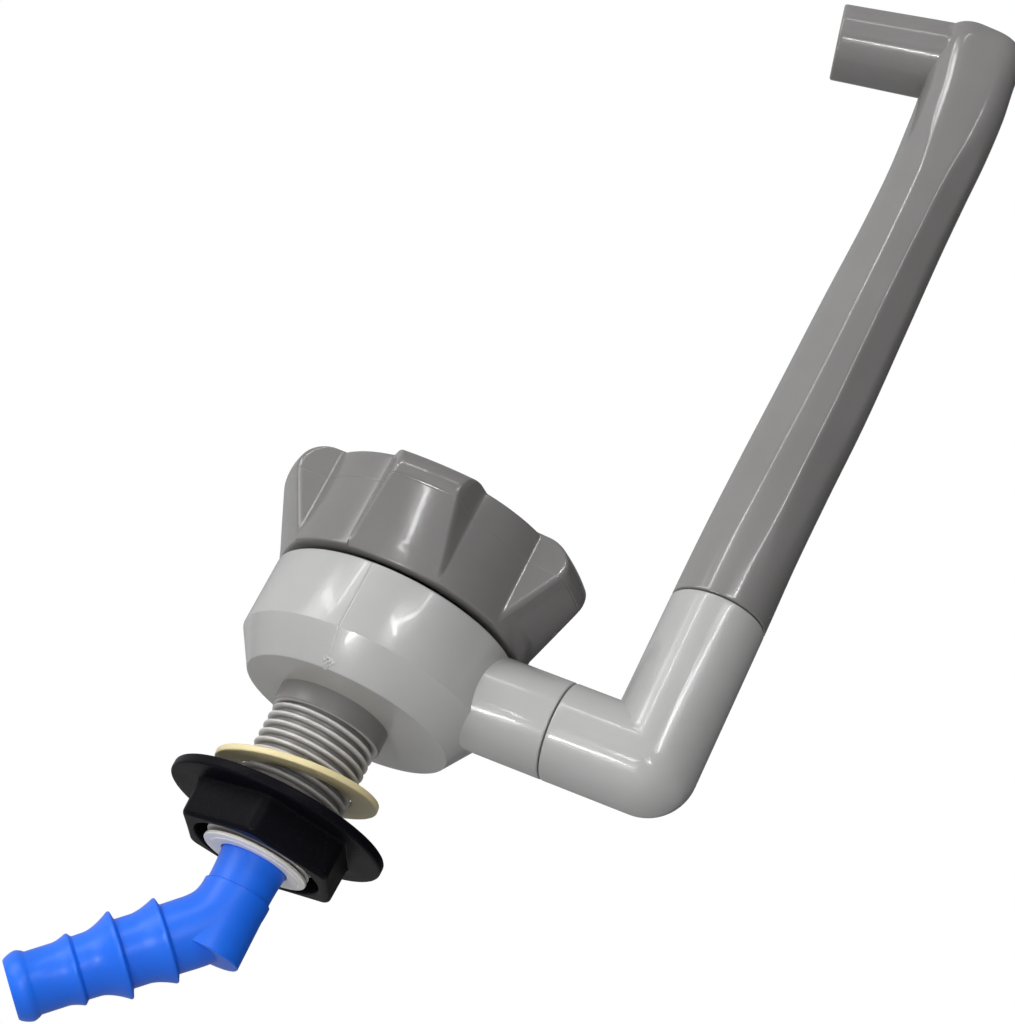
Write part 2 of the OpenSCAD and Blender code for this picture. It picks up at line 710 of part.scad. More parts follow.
// Long swivelling spout with side flats and a short sloping nozzle.
module spout() {
    flat_angle = atan((flat_low - flat_high) / shaft_h);
    slab = 4 * spout_r;
    color(dark_grey) translate([corner_x, 0, 0]) rotate([0, 0, spout_turn]) difference() {
        union() {
            translate([0, 0, seam_z]) rotate([0, spout_lean, 0]) translate([0, 0, -seam_z])
                difference() {
                    spout_form(spout_r, spout_top_r, nozzle_r);
                    for (side = [-1, 1]) {
                        translate([0, side * flat_low, seam_z]) rotate([side * flat_angle, 0, 0])
                            translate([-2 * slab, side > 0 ? 0 : -slab, -cut])
                                cube([3 * slab, slab, shaft_h + 3 * slab]);
                    }
                }
            translate([0, 0, seam_z]) rotate([180, 0, 0]) spigot();
        }
        translate([-slab, -slab, seam_z - seam_gap / 2])
            difference() {
                cube([2 * slab, 2 * slab, seam_gap]);
                translate([slab, slab, -cut]) cylinder(h = seam_gap + 2 * cut, r = spigot_r);
            }
        translate([0, 0, seam_z]) rotate([0, spout_lean, 0]) translate([0, 0, -seam_z]) {
            translate([0, 0, seam_z - cut])
                cylinder(h = shaft_h + spout_bore_r / 2 + cut, r = spout_bore_r);
            translate([0, 0, spout_top]) rotate([0, -90 - nozzle_slope, 0])
                cylinder(h = nozzle_len, r = link_bore_r);
            translate([0, 0, spout_top]) rotate([0, -90 - nozzle_slope, 0])
                translate([0, 0, nozzle_len - nozzle_bore_h])
                    cylinder(h = nozzle_bore_h + cut, r = nozzle_bore_r);
        }
        translate([0, 0, seam_z - spigot_len - cut])
            cylinder(h = spigot_len + 2 * cut, r = passage_r);
    }
}

// Seals between elbow and spout.
module spout_orings() {
    color(rubber) at_spout_seam() spigot_orings();
}

// Clip that keeps the spout in the elbow.
module spout_clip() {
    color(steel) at_spout_seam() spigot_clip();
}

// Loose clamp washer, tilted on the thread.
module clamp_washer() {
    color(ivory) translate([0, 0, -washer_drop])
        rotate([0, 0, washer_lean]) rotate([0, washer_tilt, 0]) rotate([0, 0, -washer_lean])
            translate([0, 0, -washer_t / 2]) difference() {
                cylinder(h = washer_t, r = washer_r);
                translate([0, 0, -cut]) cylinder(h = washer_t + 2 * cut, r = washer_bore_r);
            }
}

// Flanged hexagonal clamp nut with a hollow underside.
module clamp_nut() {
    low = -nut_drop - flange_t - nut_hex_h;
    color(black) difference() {
        union() {
            translate([0, 0, -nut_drop - flange_t]) cylinder(h = flange_t, r = flange_r);
            rotate([0, 0, nut_turn]) intersection() {
                translate([0, 0, low]) cylinder(h = nut_hex_h + flange_t / 2, r = nut_hex_r, $fn = 6);
                translate([0, 0, low])
                    cylinder(h = nut_hex_h + flange_t, r1 = nut_hex_r - 2 * nut_chamfer,
                             r2 = nut_hex_r - 2 * nut_chamfer + 2 * (nut_hex_h + flange_t));
            }
        }
        translate([0, 0, low - cut])
            cylinder(h = nut_hex_h + flange_t + 2 * cut, r = thread_r + nut_clear);
        translate([0, 0, low - cut]) cylinder(h = nut_hollow_h + cut, r = nut_hollow_r);
    }
}

// Ring in the tail's end that holds the hose elbow.
module retaining_ring() {
    color(ring_grey) difference() {
        union() {
            translate([0, 0, -tail_len - ring_t]) cylinder(h = ring_t, r = ring_r);
            translate([0, 0, -tail_len - ring_t]) cylinder(h = ring_t + ring_plug_h, r = ring_bore_r);
        }
        translate([0, 0, -tail_len - ring_t - cut])
            cylinder(h = ring_t + ring_plug_h + 2 * cut, r = stem_bore_r);
    }
}

// Outline points of one barb on the hose tail, crest at the given distance.
function barb(at, crest_r, root_r, tip_r, slope) = [
    [root_r, at - (crest_r - root_r) / 2], [crest_r, at],
    [crest_r, at + slope / 12], [tip_r, at + slope]
];

// Outline points of a groove for an O-ring on the stem, going down.
function stem_groove(at, floor_r) =
    let (half = (oring_d + groove_play) / 2)
    [[stem_r, at + half], [floor_r, at + half], [floor_r, at - half], [stem_r, at - half]];

// Barbed hose elbow that swivels in the tail.
module hose_elbow() {
    floor_r = stem_bore_r - run_clear / 2 - oring_d - oring_gap;
    collar_top = -ring_plug_top + ring_bore_h - ring_plug_h - end_clear / 2;
    collar_low = -ring_plug_top + end_clear / 2;
    ring_low = -tail_len - ring_t;
    stem = concat(
        [[0, -stem_top], [stem_r, -stem_top]],
        stem_groove(-stem_oring_drop, floor_r),
        stem_groove(-stem_oring_drop - oring_step, floor_r),
        [[stem_r, collar_top], [stem_collar_r, collar_top]],
        [[stem_collar_r, collar_low], [stem_r, collar_low], [stem_r, ring_low]],
        [[neck_r, -neck_low], [stub_r, -neck_low]],
        [[stub_r, -neck_low - stub_h], [0, -neck_low - stub_h]]
    );
    tail = concat(
        [[0, 0], [hose_root_r, 0]],
        barb(barb_first, barb_r, hose_root_r, hose_root_r, barb_slope),
        barb(barb_first + barb_step, barb_r, hose_root_r, hose_tip_r, barb_slope),
        barb(barb_first + 2 * barb_step, small_barb_r, hose_tip_r, hose_tip_r, small_slope),
        [[hose_tip_r, tail_run - bead_len], [bead_r, tail_run - bead_len + bead_r - hose_tip_r]],
        [[hose_tip_r, tail_run], [0, tail_run]]
    );
    color(blue) rotate([0, 0, hose_turn]) difference() {
        union() {
            rotate_extrude() polygon(stem);
            translate([0, 0, -bend_z]) rotate([0, 180 + hose_bend, 0]) rotate_extrude() polygon(tail);
        }
        translate([0, 0, -bend_z - hose_bore_r]) cylinder(h = bend_z, r = hose_bore_r);
        translate([0, 0, -bend_z]) rotate([0, 180 + hose_bend, 0])
            cylinder(h = tail_run + cut, r = tail_port_r);
    }
}

// Seals between tail and hose elbow.
module hose_orings() {
    inner = stem_bore_r - run_clear / 2 - oring_d;
    color(rubber) for (i = [0:1]) {
        translate([0, 0, -stem_oring_drop - i * oring_step]) oring(inner, oring_d);
    }
}

body();
threaded_tail();
bonnet();
bonnet_oring();
spindle();
spindle_oring();
spindle_clip();
knob();
knob_screw();
knob_cap();
plunger();
seat_washer();
washer_screw();
elbow();
elbow_orings();
elbow_clip();
spout();
spout_orings();
spout_clip();
clamp_washer();
clamp_nut();
retaining_ring();
hose_elbow();
hose_orings();
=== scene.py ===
"""Dressed model of a folding water tap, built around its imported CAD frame."""

import logging
import math
from dataclasses import dataclass, field, replace
from enum import Enum

import bmesh
import bpy
import numpy as np
from mathutils import Matrix


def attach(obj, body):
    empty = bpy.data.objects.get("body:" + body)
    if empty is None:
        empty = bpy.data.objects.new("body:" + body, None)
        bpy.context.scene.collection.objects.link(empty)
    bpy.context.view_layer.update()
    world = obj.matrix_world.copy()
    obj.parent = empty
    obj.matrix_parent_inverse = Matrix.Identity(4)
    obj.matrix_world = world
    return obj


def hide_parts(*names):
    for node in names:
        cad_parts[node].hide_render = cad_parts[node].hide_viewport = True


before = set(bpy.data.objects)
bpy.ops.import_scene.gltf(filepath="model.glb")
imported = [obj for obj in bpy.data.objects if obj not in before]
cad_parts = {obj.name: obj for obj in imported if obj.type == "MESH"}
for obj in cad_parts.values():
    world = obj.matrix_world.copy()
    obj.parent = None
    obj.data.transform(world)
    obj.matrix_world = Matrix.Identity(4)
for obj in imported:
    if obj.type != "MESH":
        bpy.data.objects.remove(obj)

Array = np.ndarray
Shell = tuple[np.ndarray, np.ndarray]
Vector = tuple[float, float, float]
Tree = bpy.types.NodeTree
Socket = bpy.types.NodeSocket
MM = 0.001
TURN = 2.0 * math.pi
SHARP_ANGLE = math.radians(38.0)
MERGE_GAP = 2.0e-6
ARC_POINTS = 5
KNOB_AXIS = (2.4, 0.0, 0.0)
log = logging.getLogger("tap")


class Slot(Enum):
    """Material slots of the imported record."""

    LIGHT = "light_plastic"
    DARK = "dark_plastic"
    TAIL = "tail_plastic"
    RING = "ring_plastic"
    IVORY = "ivory_plastic"
    BLACK = "black_plastic"
    BLUE = "blue_plastic"
    WHITE = "white_plastic"
    RUBBER = "seal_rubber"
    STEEL = "clip_steel"
    BRASS = "spindle_brass"


# ---------------------------------------------------------------- shape maths


def unit(vector: object) -> Array:
    """Vector divided by its length."""
    v = np.asarray(vector, float)
    return v / np.linalg.norm(v)


def smooth_step(low: float, high: float, value: Array) -> Array:
    """Cubic ramp 3t^2 - 2t^3, with t the place of value between low and high.

    Args:
        low: Value at which the ramp leaves 0.
        high: Value at which the ramp reaches 1.
        value: Values to look up.

    Returns:
        The ramp at each value, from 0 to 1.
    """
    t = np.clip((value - low) / (high - low), 0.0, 1.0)
    return t * t * (3.0 - 2.0 * t)


def soft_min(a: Array, b: Array, width: float) -> Array:
    """Lower of two values, rounded by a quadratic where they are closer than width.

    Args:
        a: First values.
        b: Second values.
        width: Difference below which the two are blended.

    Returns:
        min(a, b) less h^2 w / 4, with h the share of width left between them.
    """
    h = np.maximum(width - np.abs(a - b), 0.0) / width
    return np.minimum(a, b) - h * h * width / 4.0


def soft_max(a: Array, b: Array, width: float) -> Array:
    """Higher of two values, rounded as soft_min rounds the lower."""
    return -soft_min(-a, -b, width)


def rounded(corners: object) -> Array:
    """Open outline whose inner corners are arcs.

    Each corner is left and met at its radius times the tangent of half its turn,
    and its arc is that radius turned about the centre between the two points.

    Args:
        corners: Place and radius of each corner, (n, 3), with the ends' radii unused.

    Returns:
        The outline as (m, 2).
    """
    table = np.asarray(corners, float)
    p, radius = table[:, :2], table[1:-1, 2:]
    ahead = np.diff(p, axis=0)
    ahead /= np.linalg.norm(ahead, axis=1)[:, None]
    before, after = ahead[:-1], ahead[1:]
    cross = before[:, 0] * after[:, 1] - before[:, 1] * after[:, 0]
    turn = np.arctan2(cross, (before * after).sum(1))[:, None]
    start = p[1:-1] - before * radius * np.tan(np.abs(turn) / 2.0)
    side = np.stack([-before[:, 1], before[:, 0]], 1) * np.sign(turn)
    centre = start + side * radius
    part = turn * np.linspace(0.0, 1.0, ARC_POINTS)[None]
    spoke = (start - centre)[:, None, :]
    cosine, sine = np.cos(part)[..., None], np.sin(part)[..., None]
    crossed = np.stack([-spoke[..., 1], spoke[..., 0]], -1)
    arcs = centre[:, None, :] + spoke * cosine + crossed * sine
    return np.concatenate([p[:1], arcs.reshape(-1, 2), p[-1:]])


def spline(knots: Array, values: Array, places: Array) -> Array:
    """Smooth curve through a few stations.

    Between two stations it is the cubic with the stations' values and, as slopes, the
    mean slope of the neighbouring stretches; beyond the ends it stays level.

    Args:
        knots: Places of the stations, rising.
        values: Values at the stations.
        places: Places to look up.

    Returns:
        The curve's values.
    """
    slopes = np.gradient(values, knots)
    slopes[0] = slopes[-1] = 0.0
    i = np.clip(np.searchsorted(knots, places) - 1, 0, len(knots) - 2)
    width = knots[i + 1] - knots[i]
    t = np.clip((places - knots[i]) / width, 0.0, 1.0)
    near = values[i] * (1.0 + 2.0 * t) * (1.0 - t) ** 2 + slopes[i] * width * t * (1.0 - t) ** 2
    far = values[i + 1] * t**2 * (3.0 - 2.0 * t) + slopes[i + 1] * width * t**2 * (t - 1.0)
    return near + far


def grid_quads(rows: int, columns: int) -> Array:
    """Faces of a grid whose last column joins its first.

    Face (i, j) runs over rows i, i + 1 and columns j, j + 1 counted round.

    Args:
        rows: Number of rows of points.
        columns: Number of points in a row.

    Returns:
        Corner numbers as (faces, 4).
    """
    i, j = np.meshgrid(np.arange(rows - 1), np.arange(columns), indexing="ij")
    near, far = i * columns, (i + 1) * columns
    after = (j + 1) % columns
    return np.stack([near + j, near + after, far + after, far + j], -1).reshape(-1, 4)


def around(count: int) -> Array:
    """Equal angles round a full turn."""
    return np.linspace(0.0, TURN, count, endpoint=False)


def revolve(
    profile: Array, angles: Array, origin: object = (0.0, 0.0, 0.0), axis: object = (0.0, 0.0, 1.0)
) -> Shell:
    """Surface of an outline (r, h) turned about an axis.

    Point = origin + axis h + (across cos t + sideways sin t) r.

    Args:
        profile: Radius and height of each outline point, (m, 2).
        angles: Angles t of the columns.
        origin: Where height 0 lies, in millimetres.
        axis: Direction of increasing height.

    Returns:
        Points and faces.
    """
    along = unit(axis)
    helper = np.array([1.0, 0.0, 0.0]) if abs(along[0]) < 0.9 else np.array([0.0, 1.0, 0.0])
    across = unit(helper - along * (helper @ along))
    sideways = np.cross(along, across)
    ring = np.cos(angles)[:, None] * across + np.sin(angles)[:, None] * sideways
    points = np.asarray(origin, float) + profile[:, None, 1:2] * along + profile[:, None, 0:1] * ring[None]
    return points.reshape(-1, 3), grid_quads(len(profile), len(angles))


def height_field(
    radius: Array, height: Array, angles: Array, centre: object = (0.0, 0.0, 0.0)
) -> Shell:
    """Upright surface given by its radius at each height row and angle.

    Point = centre + (r cos t, r sin t, h), with r and h read from the grid.

    Args:
        radius: Radius as (rows, columns).
        height: Height of each point, as (rows, columns) or (rows, 1).
        angles: Angle t of each column.
        centre: Where radius and height are 0.

    Returns:
        Points and faces.
    """
    tall = np.broadcast_to(height, radius.shape)
    points = np.stack([radius * np.cos(angles), radius * np.sin(angles), tall], -1)
    rows, columns = radius.shape
    return (points + np.asarray(centre, float)).reshape(-1, 3), grid_quads(rows, columns)


# ------------------------------------------------------------------- finishes


def node(tree: Tree, kind: str, inputs: dict | None = None, **settings: object) -> bpy.types.Node:
    """Shader node with its settings and inputs.

    Args:
        tree: Node tree to add to.
        kind: Blender's name of the node type.
        inputs: Value, or socket that feeds it, of each input named or numbered.
        **settings: Values of the node's own properties.

    Returns:
        The node.
    """
    made = tree.nodes.new(kind)
    for name, value in settings.items():
        setattr(made, name, value)
    for key, value in (inputs or {}).items():
        if isinstance(value, Socket):
            tree.links.new(value, made.inputs[key])
        else:
            made.inputs[key].default_value = value
    return made


def ramp(tree: Tree, share: Socket, stops: object) -> Socket:
    """Colour ramp over a share.

    Args:
        tree: Node tree to add to.
        share: Socket with the share, 0 to 1.
        stops: Place and colour of each stop, from low to high.

    Returns:
        The colour's socket.
    """
    made = node(tree, "ShaderNodeValToRGB", {"Fac": share})
    elements = made.color_ramp.elements
    for _ in stops[2:]:
        elements.new(1.0)
    for element, (place, colour) in zip(elements, stops):
        element.position, element.color = place, (*colour, 1.0)
    return made.outputs["Color"]


@dataclass(frozen=True)
class Finish:
    """Moulded or machined finish, as numbers for its node tree."""

    name: str
    tint: Vector
    shade: Vector
    roughness: float = 0.3
    roughness_spread: float = 0.06
    roughness_scale: float = 2.3
    cloud_scale: float = 60.0
    cloud_stops: tuple[float, float] = (0.32, 0.68)
    grain_scale: float = 2600.0
    grain_depth: float = 0.02
    wave_scale: float = 90.0
    wave_depth: float = 0.05
    speck: float = 0.0
    speck_scale: float = 1500.0
    speck_stops: tuple[float, float] = (0.06, 0.16)
    metallic: float = 0.0
    specular: float = 0.5
    coat: float = 0.0
    coat_roughness: float = 0.06
    # Painted highlight on a thread's crests: a paler colour in a band of radii.
    crest_highlight: Vector | None = None
    crest_highlight_r: tuple[float, ...] = (9.6, 10.3, 10.65, 10.85)
    stretch: Vector = (1.0, 1.0, 1.0)

    def material(self) -> bpy.types.Material:
        """Node material with clouded colour, uneven roughness and two bumps.

        Returns:
            The finished material.
        """
        made = bpy.data.materials.new(self.name)
        made.use_nodes = True
        tree = made.node_tree
        tree.nodes.clear()
        place = node(tree, "ShaderNodeTexCoord").outputs["Object"]
        spot = node(tree, "ShaderNodeMapping", {"Vector": place, "Scale": self.stretch}).outputs["Vector"]

        cloud = self._noise(tree, spot, self.cloud_scale, 4.0)
        colour = ramp(tree, cloud, list(zip(self.cloud_stops, (self.shade, self.tint))))
        if self.speck > 0.0:
            colour = self._specks(tree, spot, colour)
        # Painted highlight on the thread's crests.
        if self.crest_highlight is not None:
            colour = self._crest_highlight(tree, place, colour)
        rough = node(tree, "ShaderNodeMapRange", {
            "Value": self._noise(tree, spot, self.cloud_scale * self.roughness_scale, 3.0),
            "To Min": self.roughness - self.roughness_spread,
            "To Max": self.roughness + self.roughness_spread})
        wave = self._bump(tree, self._noise(tree, spot, self.wave_scale, 1.0), self.wave_depth)
        grain = self._bump(tree, self._noise(tree, spot, self.grain_scale, 2.0), self.grain_depth)
        tree.links.new(wave.outputs["Normal"], grain.inputs["Normal"])
        shader = node(tree, "ShaderNodeBsdfPrincipled", {
            "Base Color": colour, "Roughness": rough.outputs["Result"], "Normal": grain.outputs["Normal"],
            "Metallic": self.metallic, "Specular IOR Level": self.specular,
            "Coat Weight": self.coat, "Coat Roughness": self.coat_roughness})
        node(tree, "ShaderNodeOutputMaterial", {"Surface": shader.outputs["BSDF"]})
        return made

    def _noise(self, tree: Tree, spot: Socket, scale: float, detail: float) -> Socket:
        """Socket of a noise with so many ripples in a metre and octaves of detail."""
        made = node(tree, "ShaderNodeTexNoise", {"Scale": scale, "Detail": detail, "Vector": spot})
        return made.outputs["Fac"]

    def _bump(self, tree: Tree, height: Socket, depth: float) -> bpy.types.Node:
        """Bump of the given depth in millimetres from a height socket."""
        return node(tree, "ShaderNodeBump", {"Strength": 1.0, "Distance": depth * MM, "Height": height})

    def _crest_highlight(self, tree: Tree, place: Socket, colour: Socket) -> Socket:
        """Paler colour far from the upright axis, a painted highlight on the thread's crests.

        Its share rises between the first two radii and falls between the last two.

        Args:
            tree: Node tree to add to.
            place: Socket with the place on the piece.
            colour: Socket with the plain colour.

        Returns:
            The mixed colour's socket.
        """
        reach = 2.0 * self.crest_highlight_r[0]
        flat = node(tree, "ShaderNodeMapping", {"Vector": place, "Scale": (1.0, 1.0, 0.0)}).outputs["Vector"]
        length = node(tree, "ShaderNodeVectorMath", {0: flat}, operation="LENGTH").outputs["Value"]
        share = node(tree, "ShaderNodeMapRange", {"Value": length, "From Max": reach * MM}).outputs["Result"]
        band = ramp(tree, share, [(radius / reach, (level,) * 3)
                                  for radius, level in zip(self.crest_highlight_r, (0.0, 1.0, 1.0, 0.0))])
        mix = node(tree, "ShaderNodeMix", {"Factor": band, 6: colour, 7: (*self.crest_highlight, 1.0)}, data_type="RGBA")
        return mix.outputs[2]

    def _specks(self, tree: Tree, spot: Socket, colour: Socket) -> Socket:
        """Scattered paler specks over a colour.

        Args:
            tree: Node tree to add to.
            spot: Socket with the place on the piece.
            colour: Socket with the colour below.

        Returns:
            The speckled colour's socket.
        """
        cells = node(tree, "ShaderNodeTexVoronoi", {"Scale": self.speck_scale, "Vector": spot})
        pale = tuple(min(1.0, c * (1.0 + self.speck) + 0.02) for c in self.tint)
        specks = ramp(tree, cells.outputs["Distance"], list(zip(self.speck_stops, (pale, (0.0, 0.0, 0.0)))))
        mix = node(tree, "ShaderNodeMix", {"Factor": 1.0, 6: colour, 7: specks},
                   data_type="RGBA", blend_type="LIGHTEN")
        return mix.outputs[2]


class Look:
    """The tap's finishes, each made once."""

    OF_SLOT = {
        Slot.LIGHT: Finish(
            "light_moulded_grey", (0.435, 0.435, 0.432), (0.405, 0.405, 0.402), roughness=0.22,
            wave_scale=55.0, wave_depth=0.16, coat=0.25),
        Slot.DARK: Finish(
            "dark_moulded_grey", (0.185, 0.178, 0.176), (0.168, 0.162, 0.160), roughness=0.17,
            wave_scale=48.0, wave_depth=0.1, grain_depth=0.008, coat=0.3),
        # The thread's crests get a painted highlight in a paler grey.
        Slot.TAIL: Finish(
            "thread_moulded_grey", (0.21, 0.20, 0.195), (0.175, 0.167, 0.16), roughness=0.3,
            grain_depth=0.03, crest_highlight=(0.60, 0.59, 0.58)),
        Slot.RING: Finish("ring_moulded_grey", (0.93, 0.90, 0.84), (0.87, 0.84, 0.78), roughness=0.35),
        Slot.IVORY: Finish(
            "ivory_washer", (0.84, 0.73, 0.42), (0.78, 0.67, 0.37), roughness=0.38, wave_depth=0.08),
        Slot.BLACK: Finish(
            "black_satin_nut", (0.0045, 0.0042, 0.0065), (0.003, 0.0028, 0.0045), roughness=0.4,
            specular=0.06, speck=0.5, grain_depth=0.05, grain_scale=1700.0),
        Slot.BLUE: Finish(
            "blue_hose_fitting", (0.012, 0.158, 0.88), (0.010, 0.140, 0.81), roughness=0.34, specular=0.35,
            wave_depth=0.09),
        Slot.WHITE: Finish("white_moulded_inside", (0.78, 0.78, 0.76), (0.72, 0.72, 0.7), roughness=0.32),
        Slot.RUBBER: Finish(
            "black_seal_rubber", (0.022, 0.022, 0.022), (0.015, 0.015, 0.015), roughness=0.62,
            grain_depth=0.04),
        Slot.STEEL: Finish(
            "brushed_clip_steel", (0.62, 0.62, 0.61), (0.52, 0.52, 0.51), roughness=0.28, metallic=1.0,
            grain_scale=900.0, stretch=(1.0, 1.0, 9.0)),
        Slot.BRASS: Finish(
            "turned_brass", (0.72, 0.53, 0.26), (0.64, 0.46, 0.21), roughness=0.24, metallic=1.0,
            grain_scale=900.0, stretch=(1.0, 1.0, 9.0)),
    }
    # Brighter copy of the dark grey for the spout: painted light, standing for the stronger light that falls
    # on it.
    SPOUT_PAINTED_LIGHT = replace(OF_SLOT[Slot.DARK], name="spout_grey_painted_light", tint=(0.222, 0.216, 0.214),
                    shade=(0.205, 0.199, 0.197))

    def __init__(self) -> None:
        """Makes every finish's material."""
        self.made = {finish: finish.material() for finish in (*self.OF_SLOT.values(), self.SPOUT_PAINTED_LIGHT)}

    def dress(self, piece: bpy.types.Object, finish: Finish) -> None:
        """Gives a piece the material of a finish."""
        piece.data.materials.clear()
        piece.data.materials.append(self.made[finish])

    def dress_node(self, cad_node: str, slot: Slot) -> None:
        """Puts a slot's material on every material slot of a CAD node."""
        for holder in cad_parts[cad_node].material_slots:
            holder.material = self.made[self.OF_SLOT[slot]]


# --------------------------------------------------------------------- pieces


@dataclass
class Piece:
    """What every visible piece of the tap has in common."""

    name: str
    body: str
    slot: Slot
    stands_for: tuple[str, ...] = ()
    finish: Finish | None = None
    columns: int = 128

    def shells(self) -> list[Shell]:
        """Points in millimetres and faces of each closed shell."""
        raise NotImplementedError

    def build(self, look: Look) -> bpy.types.Object:
        """Makes the piece, joins its shells and ties it to the frame.

        Args:
            look: The finishes.

        Returns:
            The finished object, at the origin.
        """
        parts = [self._mesh_object(f"{self.name}_{i}", *s) for i, s in enumerate(self.shells())]
        piece = self._joined(parts)
        piece.name = piece.data.name = self.name
        self._smooth(piece.data)
        look.dress(piece, self.finish or look.OF_SLOT[self.slot])
        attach(piece, self.body)
        if self.stands_for:
            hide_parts(*self.stands_for)
        log.info("%s: %d faces on %s", self.name, len(piece.data.polygons), self.body)
        return piece

    @staticmethod
    def _mesh_object(name: str, points: Array, faces: Array) -> bpy.types.Object:
        """Closed mesh object from points in millimetres.

        Args:
            name: Name of the object.
            points: Points as (n, 3).
            faces: Corner numbers as (m, 4).

        Returns:
            The object, with doubled points merged and faces outwards.
        """
        mesh = bpy.data.meshes.new(name)
        mesh.from_pydata(np.asarray(points) * MM, [], np.asarray(faces))
        work = bmesh.new()
        work.from_mesh(mesh)
        bmesh.ops.remove_doubles(work, verts=work.verts, dist=MERGE_GAP)
        bmesh.ops.dissolve_degenerate(work, edges=work.edges, dist=MERGE_GAP / 4.0)
        bmesh.ops.recalc_face_normals(work, faces=work.faces)
        work.to_mesh(mesh)
        work.free()
        made = bpy.data.objects.new(name, mesh)
        bpy.context.scene.collection.objects.link(made)
        return made

    @staticmethod
    def _joined(parts: list[bpy.types.Object]) -> bpy.types.Object:
        """First part with the others united to it, as one closed surface.

        Args:
            parts: Closed objects that meet.

        Returns:
            The object of the first part.
        """
        first, others = parts[0], parts[1:]
        for other in others:
            union = first.modifiers.new("union", "BOOLEAN")
            union.operation, union.solver, union.object = "UNION", "EXACT", other
        if others:
            seen = first.evaluated_get(bpy.context.evaluated_depsgraph_get())
            mesh = bpy.data.meshes.new_from_object(seen)
            first.modifiers.clear()
            first.data = mesh
            for other in others:
                bpy.data.objects.remove(other)
        return first

    @staticmethod
    def _smooth(mesh: bpy.types.Mesh) -> None:
        """Smooth shading, with edges over the sharp angle kept sharp."""
        mesh.polygons.foreach_set("use_smooth", np.ones(len(mesh.polygons), bool))
        mesh.set_sharp_from_angle(angle=SHARP_ANGLE)


@dataclass
class TapBody(Piece):
    """Round body with a tapered base and a side boss."""

    name: str = "body_shell"
    body: str = "body"
    slot: Slot = Slot.LIGHT
    stands_for: tuple[str, ...] = ("body",)
    base_r: float = 20.6
    outer_r: float = 24.9
    taper_h: float = 6.8
    height: float = 20.7
    chamber_r: float = 14.0
    chamber_floor: float = 4.5
    boss_r: float = 9.4
    boss_z: float = 12.2
    boss_root: float = 16.5
    boss_end: float = 40.35
    socket_r: float = 6.6
    socket_floor: float = 27.0
    parting_turn: float = -90.0
    parting_depth: float = 0.1
    parting_width: float = 0.09
    parting_low: float = 1.6
    parting_gap: float = 0.4
    parting_columns: tuple[float, ...] = (0.1, 0.2, 0.32, 0.5, 0.8, 1.2)
    columns: int = 240
    boss_columns: int = 160

    def shells(self) -> list[Shell]:
        """Body turned about the knob's axis with a parting groove, and the boss."""
        return [self._round_body(), self._boss()]

    def _round_body(self) -> Shell:
        """Outline turned about the knob's axis.

        Radius = outline less a bell-shaped groove at the parting line.

        Returns:
            Points and faces.
        """
        outline = rounded([(0.0, 0.0, 0.0), (self.base_r, 0.0, 0.35), (self.outer_r, self.taper_h, 0.3),
                           (self.outer_r, self.height, 0.5), (self.chamber_r, self.height, 0.3),
                           (self.chamber_r, self.chamber_floor, 0.3), (0.0, self.chamber_floor, 0.0)])
        off = np.array(self.parting_columns)
        middle = np.radians(self.parting_turn)
        near = middle + np.radians(np.concatenate([-off[::-1], [0.0], off]))
        base = around(self.columns) - math.pi
        base = base[np.abs(base - middle) > np.radians(off[-1] + self.parting_gap)]
        angles = np.sort(np.concatenate([base, near]))
        away = (angles - middle) * self.outer_r
        groove = self.parting_depth * np.exp(-((away / self.parting_width) ** 2))
        middle_r = (self.base_r + self.chamber_r) / 2.0
        outside = (outline[:, 0] > middle_r) & (outline[:, 1] > self.parting_low)
        radius = outline[:, 0:1] - outside[:, None] * groove[None]
        return height_field(radius, outline[:, 1:2], angles, KNOB_AXIS)

    def _boss(self) -> Shell:
        """Boss outline turned about the elbow's folding axis."""
        outline = rounded([(0.0, self.boss_root, 0.0), (self.boss_r, self.boss_root, 0.2),
                           (self.boss_r, self.boss_end, 0.32), (self.socket_r, self.boss_end, 0.25),
                           (self.socket_r, self.socket_floor, 0.2), (0.0, self.socket_floor, 0.0)])
        return revolve(outline, around(self.boss_columns), (0.0, 0.0, self.boss_z), (1.0, 0.0, 0.0))


@dataclass
class GateMark(Piece):
    """Small rough mark where the body's moulding gate was cut off."""

    name: str = "gate_mark"
    body: str = "body"
    slot: Slot = Slot.LIGHT
    reach: float = 1.25
    height: float = 0.16
    sunk: float = 0.3
    place: Vector = (2.4, -21.25, 1.05)
    rows: int = 16
    columns: int = 44

    def shells(self) -> list[Shell]:
        """Crumpled button on the base taper, below the parting line.

        Height = (1 - s^2) (1.1 + 0.75 x crossed ripples) at the share s of its reach, and
        a flat back closes it.

        Returns:
            One shell.
        """
        taper = unit((TapBody.base_r - TapBody.outer_r, TapBody.taper_h, 0.0))
        along = np.array([0.0, taper[0], taper[1]])
        out = np.array([0.0, -taper[1], taper[0]])
        across = np.array([1.0, 0.0, 0.0])
        centre = np.array(self.place)
        share = np.linspace(0.0, 1.0, self.rows)[:, None]
        turn = around(self.columns)[None]
        reach = self.reach * (1.0 + 0.16 * np.sin(3.0 * turn + 0.6) + 0.08 * np.sin(7.0 * turn))
        ripple = (np.sin(9.0 * share * np.cos(turn) + 0.8) * np.cos(8.0 * share * np.sin(turn))
                  + 0.6 * np.sin(17.0 * share * np.sin(turn + 0.9)))
        lift = self.height * (1.0 - share**2) * (1.1 + 0.75 * ripple)
        x, y = share * reach * np.cos(turn), share * reach * np.sin(turn)
        top = centre + x[..., None] * across + y[..., None] * along + lift[..., None] * out
        back = np.broadcast_to(centre - self.sunk * out, top[:1].shape)
        points = np.concatenate([top, back])
        return [(points.reshape(-1, 3), grid_quads(len(points), points.shape[1]))]


